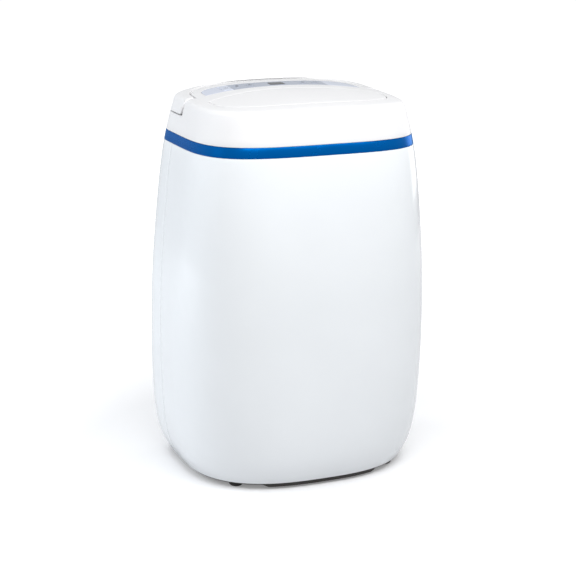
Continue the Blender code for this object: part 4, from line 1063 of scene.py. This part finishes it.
def make_grille():
    builder = Builder()
    low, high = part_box("intake_grille")
    pitch = (high.z - low.z - 2 * GRILLE_RIM) / SLOT_ROWS
    holes = []
    for k in range(SLOT_ROWS):
        z = low.z + GRILLE_RIM + pitch * (k + 0.5)
        bottom, top = z - SLOT_HEIGHT / 2, z + SLOT_HEIGHT / 2
        for x0, x1 in ((-SLOT_OUTER_X, -SLOT_INNER_X), (SLOT_INNER_X, SLOT_OUTER_X)):
            holes.append(rear_places(rounded_loop((x0, bottom), (x1, top), 0.0035, 0.002)))
    outline = rear_places(panel_loop("intake_grille"))
    skin(builder, wall_surface, outline, holes, 0.003, 0.0006, 0.005)
    piece(builder, "intake_grille_panel", "filter", "gloss_white", ["intake_grille"])


def make_tank_face():
    """A curved face with a flat back, and a grip recess closed by a plate behind it."""
    builder = Builder()
    low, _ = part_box("tank_face")

    def back(places, _):
        points = wall_surface(places, 0.0)
        points[:, 1] = low.y
        return points

    recess = rounded_loop(*GRIP, 0.010)
    outline = rear_places(panel_loop("tank_face"))
    skin(builder, wall_surface, outline, [rear_places(recess)], WALL, 0.0008, 0.005, back)
    floor = rounded_loop(*GRIP_PLATE, 0.012)
    levels = (low.y + 0.0003, low.y + 0.0025)
    section_loft(builder, [[(x, y, z) for x, z in floor] for y in levels])
    piece(builder, "tank_face_panel", "tank", "gloss_white", ["tank_face"])


def make_base_pan():
    """A tray with a skirt, and a round recess about each foot."""
    builder = Builder()
    angles = np.linspace(-np.pi, np.pi, 360, endpoint=False)
    section = (
        (0.0090, 0.0060), (0.0034, 0.0051), (0.0030, 0.0047), (0.0030, 0.0021), (0.0034, 0.0016),
        (0.0076, 0.0012), (0.0076, 0.0040), (0.0125, 0.0040),
    )
    rows = []
    for z, inset in section:
        ring = casing(angles, max(z, SHELL_BOTTOM), inset)
        past = np.clip((np.abs(ring[:, 0]) - SKIRT_HALF_WIDTH) / SKIRT_TAPER, 0.0, 1.0)
        ring[:, 2] = z + SKIRT_LIFT * past**2 * (3 - 2 * past) * (z < SKIRT_LIFT_BELOW)
        rows.append(ring)
    section_loft(builder, rows)
    pan = piece(builder, "base_pan_moulding", "casing", "dark_plastic", ["base_pan"], outward=True)
    recess = ((RECESS_RADIUS, -0.01), (RECESS_RADIUS, RECESS_TOP))
    for name in nodes_named("foot_"):
        centre = middle_of(name)
        cutter = Builder()
        turned(cutter, (centre.x, centre.y, 0.0), (0, 0, 1), recess, 72)
        helper = cutter.finish(name + "_recess", MATERIALS["dark_plastic"], outward=True)
        helper.hide_render = True
        helper.hide_viewport = True
        cut = pan.modifiers.new(name, "BOOLEAN")
        cut.object = helper
        cut.solver = "EXACT"


def make_feet():
    """Rubber bowls with a stub that goes up into the base pan."""
    bowl = [(0.0050, 0.0)]
    for k in range(1, 9):
        bend = math.pi / 2 * k / 8
        flare = BOWL_FLARE * math.sin(bend)
        bowl.append((BOWL_RADIUS + flare, BOWL_HEIGHT * (1 - math.cos(bend)) ** 0.9))
    bowl += [(0.0100, 0.0074), (0.0097, 0.0081), (0.0088, 0.0086), (0.0030, 0.0086)]
    bowl += [(0.0030, 0.0160), (0.0022, 0.0175)]
    for name in nodes_named("foot_"):
        centre = middle_of(name)
        builder = Builder()
        turned(builder, (centre.x, centre.y, 0.0), (0, 0, 1), bowl, 48)
        piece(builder, name + "_pad", "casing", "rubber", [name])


def make_rear_fittings():
    low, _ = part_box("cord_gland")
    gland = middle_of("cord_gland")
    builder = Builder()
    bushing = (
        (0.0034, 0.0), (0.0092, 0.0), (0.0095, 0.0003), (0.0095, 0.0025), (0.0069, 0.0026),
        (0.0067, 0.0100), (0.0066, 0.0168), (0.0063, 0.0176), (0.0058, 0.0180), (0.0040, 0.0180),
        (0.0035, 0.0177), (0.0034, 0.0170), (0.0034, 0.0),
    )
    turned(builder, (gland.x, low.y, gland.z), (0, 1, 0), bushing, 56)
    piece(builder, "cord_gland_bushing", "casing", "dark_plastic", ["cord_gland"])
    low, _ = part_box("drain_plug")
    plug = middle_of("drain_plug")
    builder = Builder()
    stopper = (
        (0.0034, 0.0), (0.0038, 0.0004), (0.0043, 0.0030), (0.0043, 0.0143),
        (0.0069, 0.0143), (0.0072, 0.0146), (0.0072, 0.0162), (0.0069, 0.0167), (0.0064, 0.0168),
        (0.0040, 0.0164),
    )
    turned(builder, (plug.x, low.y, plug.z), (0, 1, 0), stopper, 56)
    piece(builder, "drain_plug_stopper", "plug", "rubber", ["drain_plug"])


def paint_cad_nodes():
    """Every CAD node that still shows gets its slot's full material."""
    for row in frame["record"]["subparts"]:
        node = frame["nodes"][row["node"]]
        if node.hide_render:
            continue
        node.data.materials.clear()
        node.data.materials.append(MATERIALS[row["material_slot"]])
        node.data.shade_smooth()
        node.data.set_sharp_from_angle(angle=CAD_SHARP_ANGLE)


# ---------------------------------------------------------------- studio


def area_light(name, place, aim, size, power, colour=WHITE, mirrored=True):
    lamp = bpy.data.lights.new(name, "AREA")
    lamp.shape = "RECTANGLE"
    lamp.size, lamp.size_y = size
    lamp.energy = power
    lamp.color = colour
    obj = bpy.data.objects.new(name, lamp)
    obj.location = place
    obj.rotation_euler = (Vector(aim) - Vector(place)).to_track_quat("-Z", "Y").to_euler()
    obj.visible_camera = False
    obj.visible_glossy = mirrored
    bpy.context.scene.collection.objects.link(obj)


def make_studio():
    """A pale floor with a painted glow that only the camera sees: dim near the object, a painted
    shade about it, and brighter further out. Four soft lights.
    """
    builder = Builder()
    half = 6.0
    corners = builder.add([(-half, -half, 0), (half, -half, 0), (half, half, 0), (-half, half, 0)])
    builder.faces.append(tuple(corners))
    material, nodes, links, shader = new_material("Pale studio floor")
    shader.inputs["Base Color"].default_value = (0.80, 0.80, 0.81, 1.0)
    shader.inputs["Roughness"].default_value = 0.9
    shader.inputs["Specular IOR Level"].default_value = 0.0
    # Painted light on the floor: an emission seen only by camera rays, rising from 0.22 near the
    # object's origin to 0.80 further out, so the floor reads darker about the object (painted
    # shade) and white beyond.
    painted_floor_glow = nodes.new("ShaderNodeEmission")
    place = nodes.new("ShaderNodeTexCoord")
    reach = nodes.new("ShaderNodeVectorMath")
    reach.operation = "LENGTH"
    painted_glow_ramp = nodes.new("ShaderNodeMapRange")
    painted_glow_ramp.inputs["From Min"].default_value = 0.30
    painted_glow_ramp.inputs["From Max"].default_value = 0.80
    painted_glow_ramp.inputs["To Min"].default_value = 0.22
    painted_glow_ramp.inputs["To Max"].default_value = 0.80
    links.new(place.outputs["Object"], reach.inputs[0])
    links.new(reach.outputs["Value"], painted_glow_ramp.inputs["Value"])
    links.new(painted_glow_ramp.outputs["Result"], painted_floor_glow.inputs["Strength"])
    ray = nodes.new("ShaderNodeLightPath")
    unlit = nodes.new("ShaderNodeEmission")
    unlit.inputs["Strength"].default_value = 0.0
    seen = nodes.new("ShaderNodeMixShader")
    both = nodes.new("ShaderNodeAddShader")
    links.new(ray.outputs["Is Camera Ray"], seen.inputs["Fac"])
    links.new(unlit.outputs["Emission"], seen.inputs[1])
    links.new(painted_floor_glow.outputs["Emission"], seen.inputs[2])
    links.new(shader.outputs["BSDF"], both.inputs[0])
    links.new(seen.outputs["Shader"], both.inputs[1])
    links.new(both.outputs["Shader"], nodes["Material Output"].inputs["Surface"])
    builder.finish("studio_floor", material)
    make_world()
    area_light("overhead", (0.02, -0.62, 1.00), (0.01, -0.05, 0.40), (1.0, 0.4), 6.8)
    area_light("left_strip", (-1.45, -0.05, 0.75), (0.0, 0.0, 0.35), (0.6, 1.1), 0.5, COOL)
    area_light("left_rear", (-1.30, 0.80, 0.60), (0.0, 0.05, 0.22), (1.0, 1.2), 11.5, COOL, False)
    area_light("right_rear", (1.50, 0.55, 0.70), (0.0, 0.05, 0.25), (0.9, 1.2), 5.0)


def make_world():
    """White behind the object, and a dimmer even sky for lighting it."""
    world = bpy.data.worlds.new("Studio")
    world.use_nodes = True
    nodes, links = world.node_tree.nodes, world.node_tree.links
    sky = nodes["Background"]
    sky.inputs["Color"].default_value = (0.97, 0.985, 1.0, 1.0)
    sky.inputs["Strength"].default_value = 0.57
    backdrop = nodes.new("ShaderNodeBackground")
    backdrop.inputs["Color"].default_value = (1.0, 1.0, 1.0, 1.0)
    backdrop.inputs["Strength"].default_value = 1.05
    ray = nodes.new("ShaderNodeLightPath")
    mix = nodes.new("ShaderNodeMixShader")
    links.new(ray.outputs["Is Camera Ray"], mix.inputs["Fac"])
    links.new(sky.outputs["Background"], mix.inputs[1])
    links.new(backdrop.outputs["Background"], mix.inputs[2])
    links.new(mix.outputs["Shader"], nodes["World Output"].inputs["Surface"])
    bpy.context.scene.world = world
    bpy.context.scene.view_settings.view_transform = "Standard"


def make_camera():
    data = bpy.data.cameras.new("camera")
    data.sensor_width = 36.0
    data.lens = 96.85
    data.shift_x = 0.0053
    data.shift_y = -0.0358
    camera = bpy.data.objects.new("camera", data)
    middle = Vector((0.0, WIDEST_Y, 0.25))
    azimuth, elevation, distance = math.radians(-21.74), math.radians(14.04), 2.002
    back = Vector(
        (
            math.sin(azimuth) * math.cos(elevation),
            -math.cos(azimuth) * math.cos(elevation),
            math.sin(elevation),
        )
    )
    camera.location = middle + back * distance
    camera.rotation_euler = (-back).to_track_quat("-Z", "Y").to_euler()
    bpy.context.scene.collection.objects.link(camera)
    bpy.context.scene.camera = camera


make_camera()
make_studio()
make_front_shell()
make_rear_shell()
make_band()
make_cover()
make_handle()
make_flap()
make_fascia()
make_key_print()
make_grille()
make_tank_face()
make_base_pan()
make_feet()
make_rear_fittings()
paint_cad_nodes()
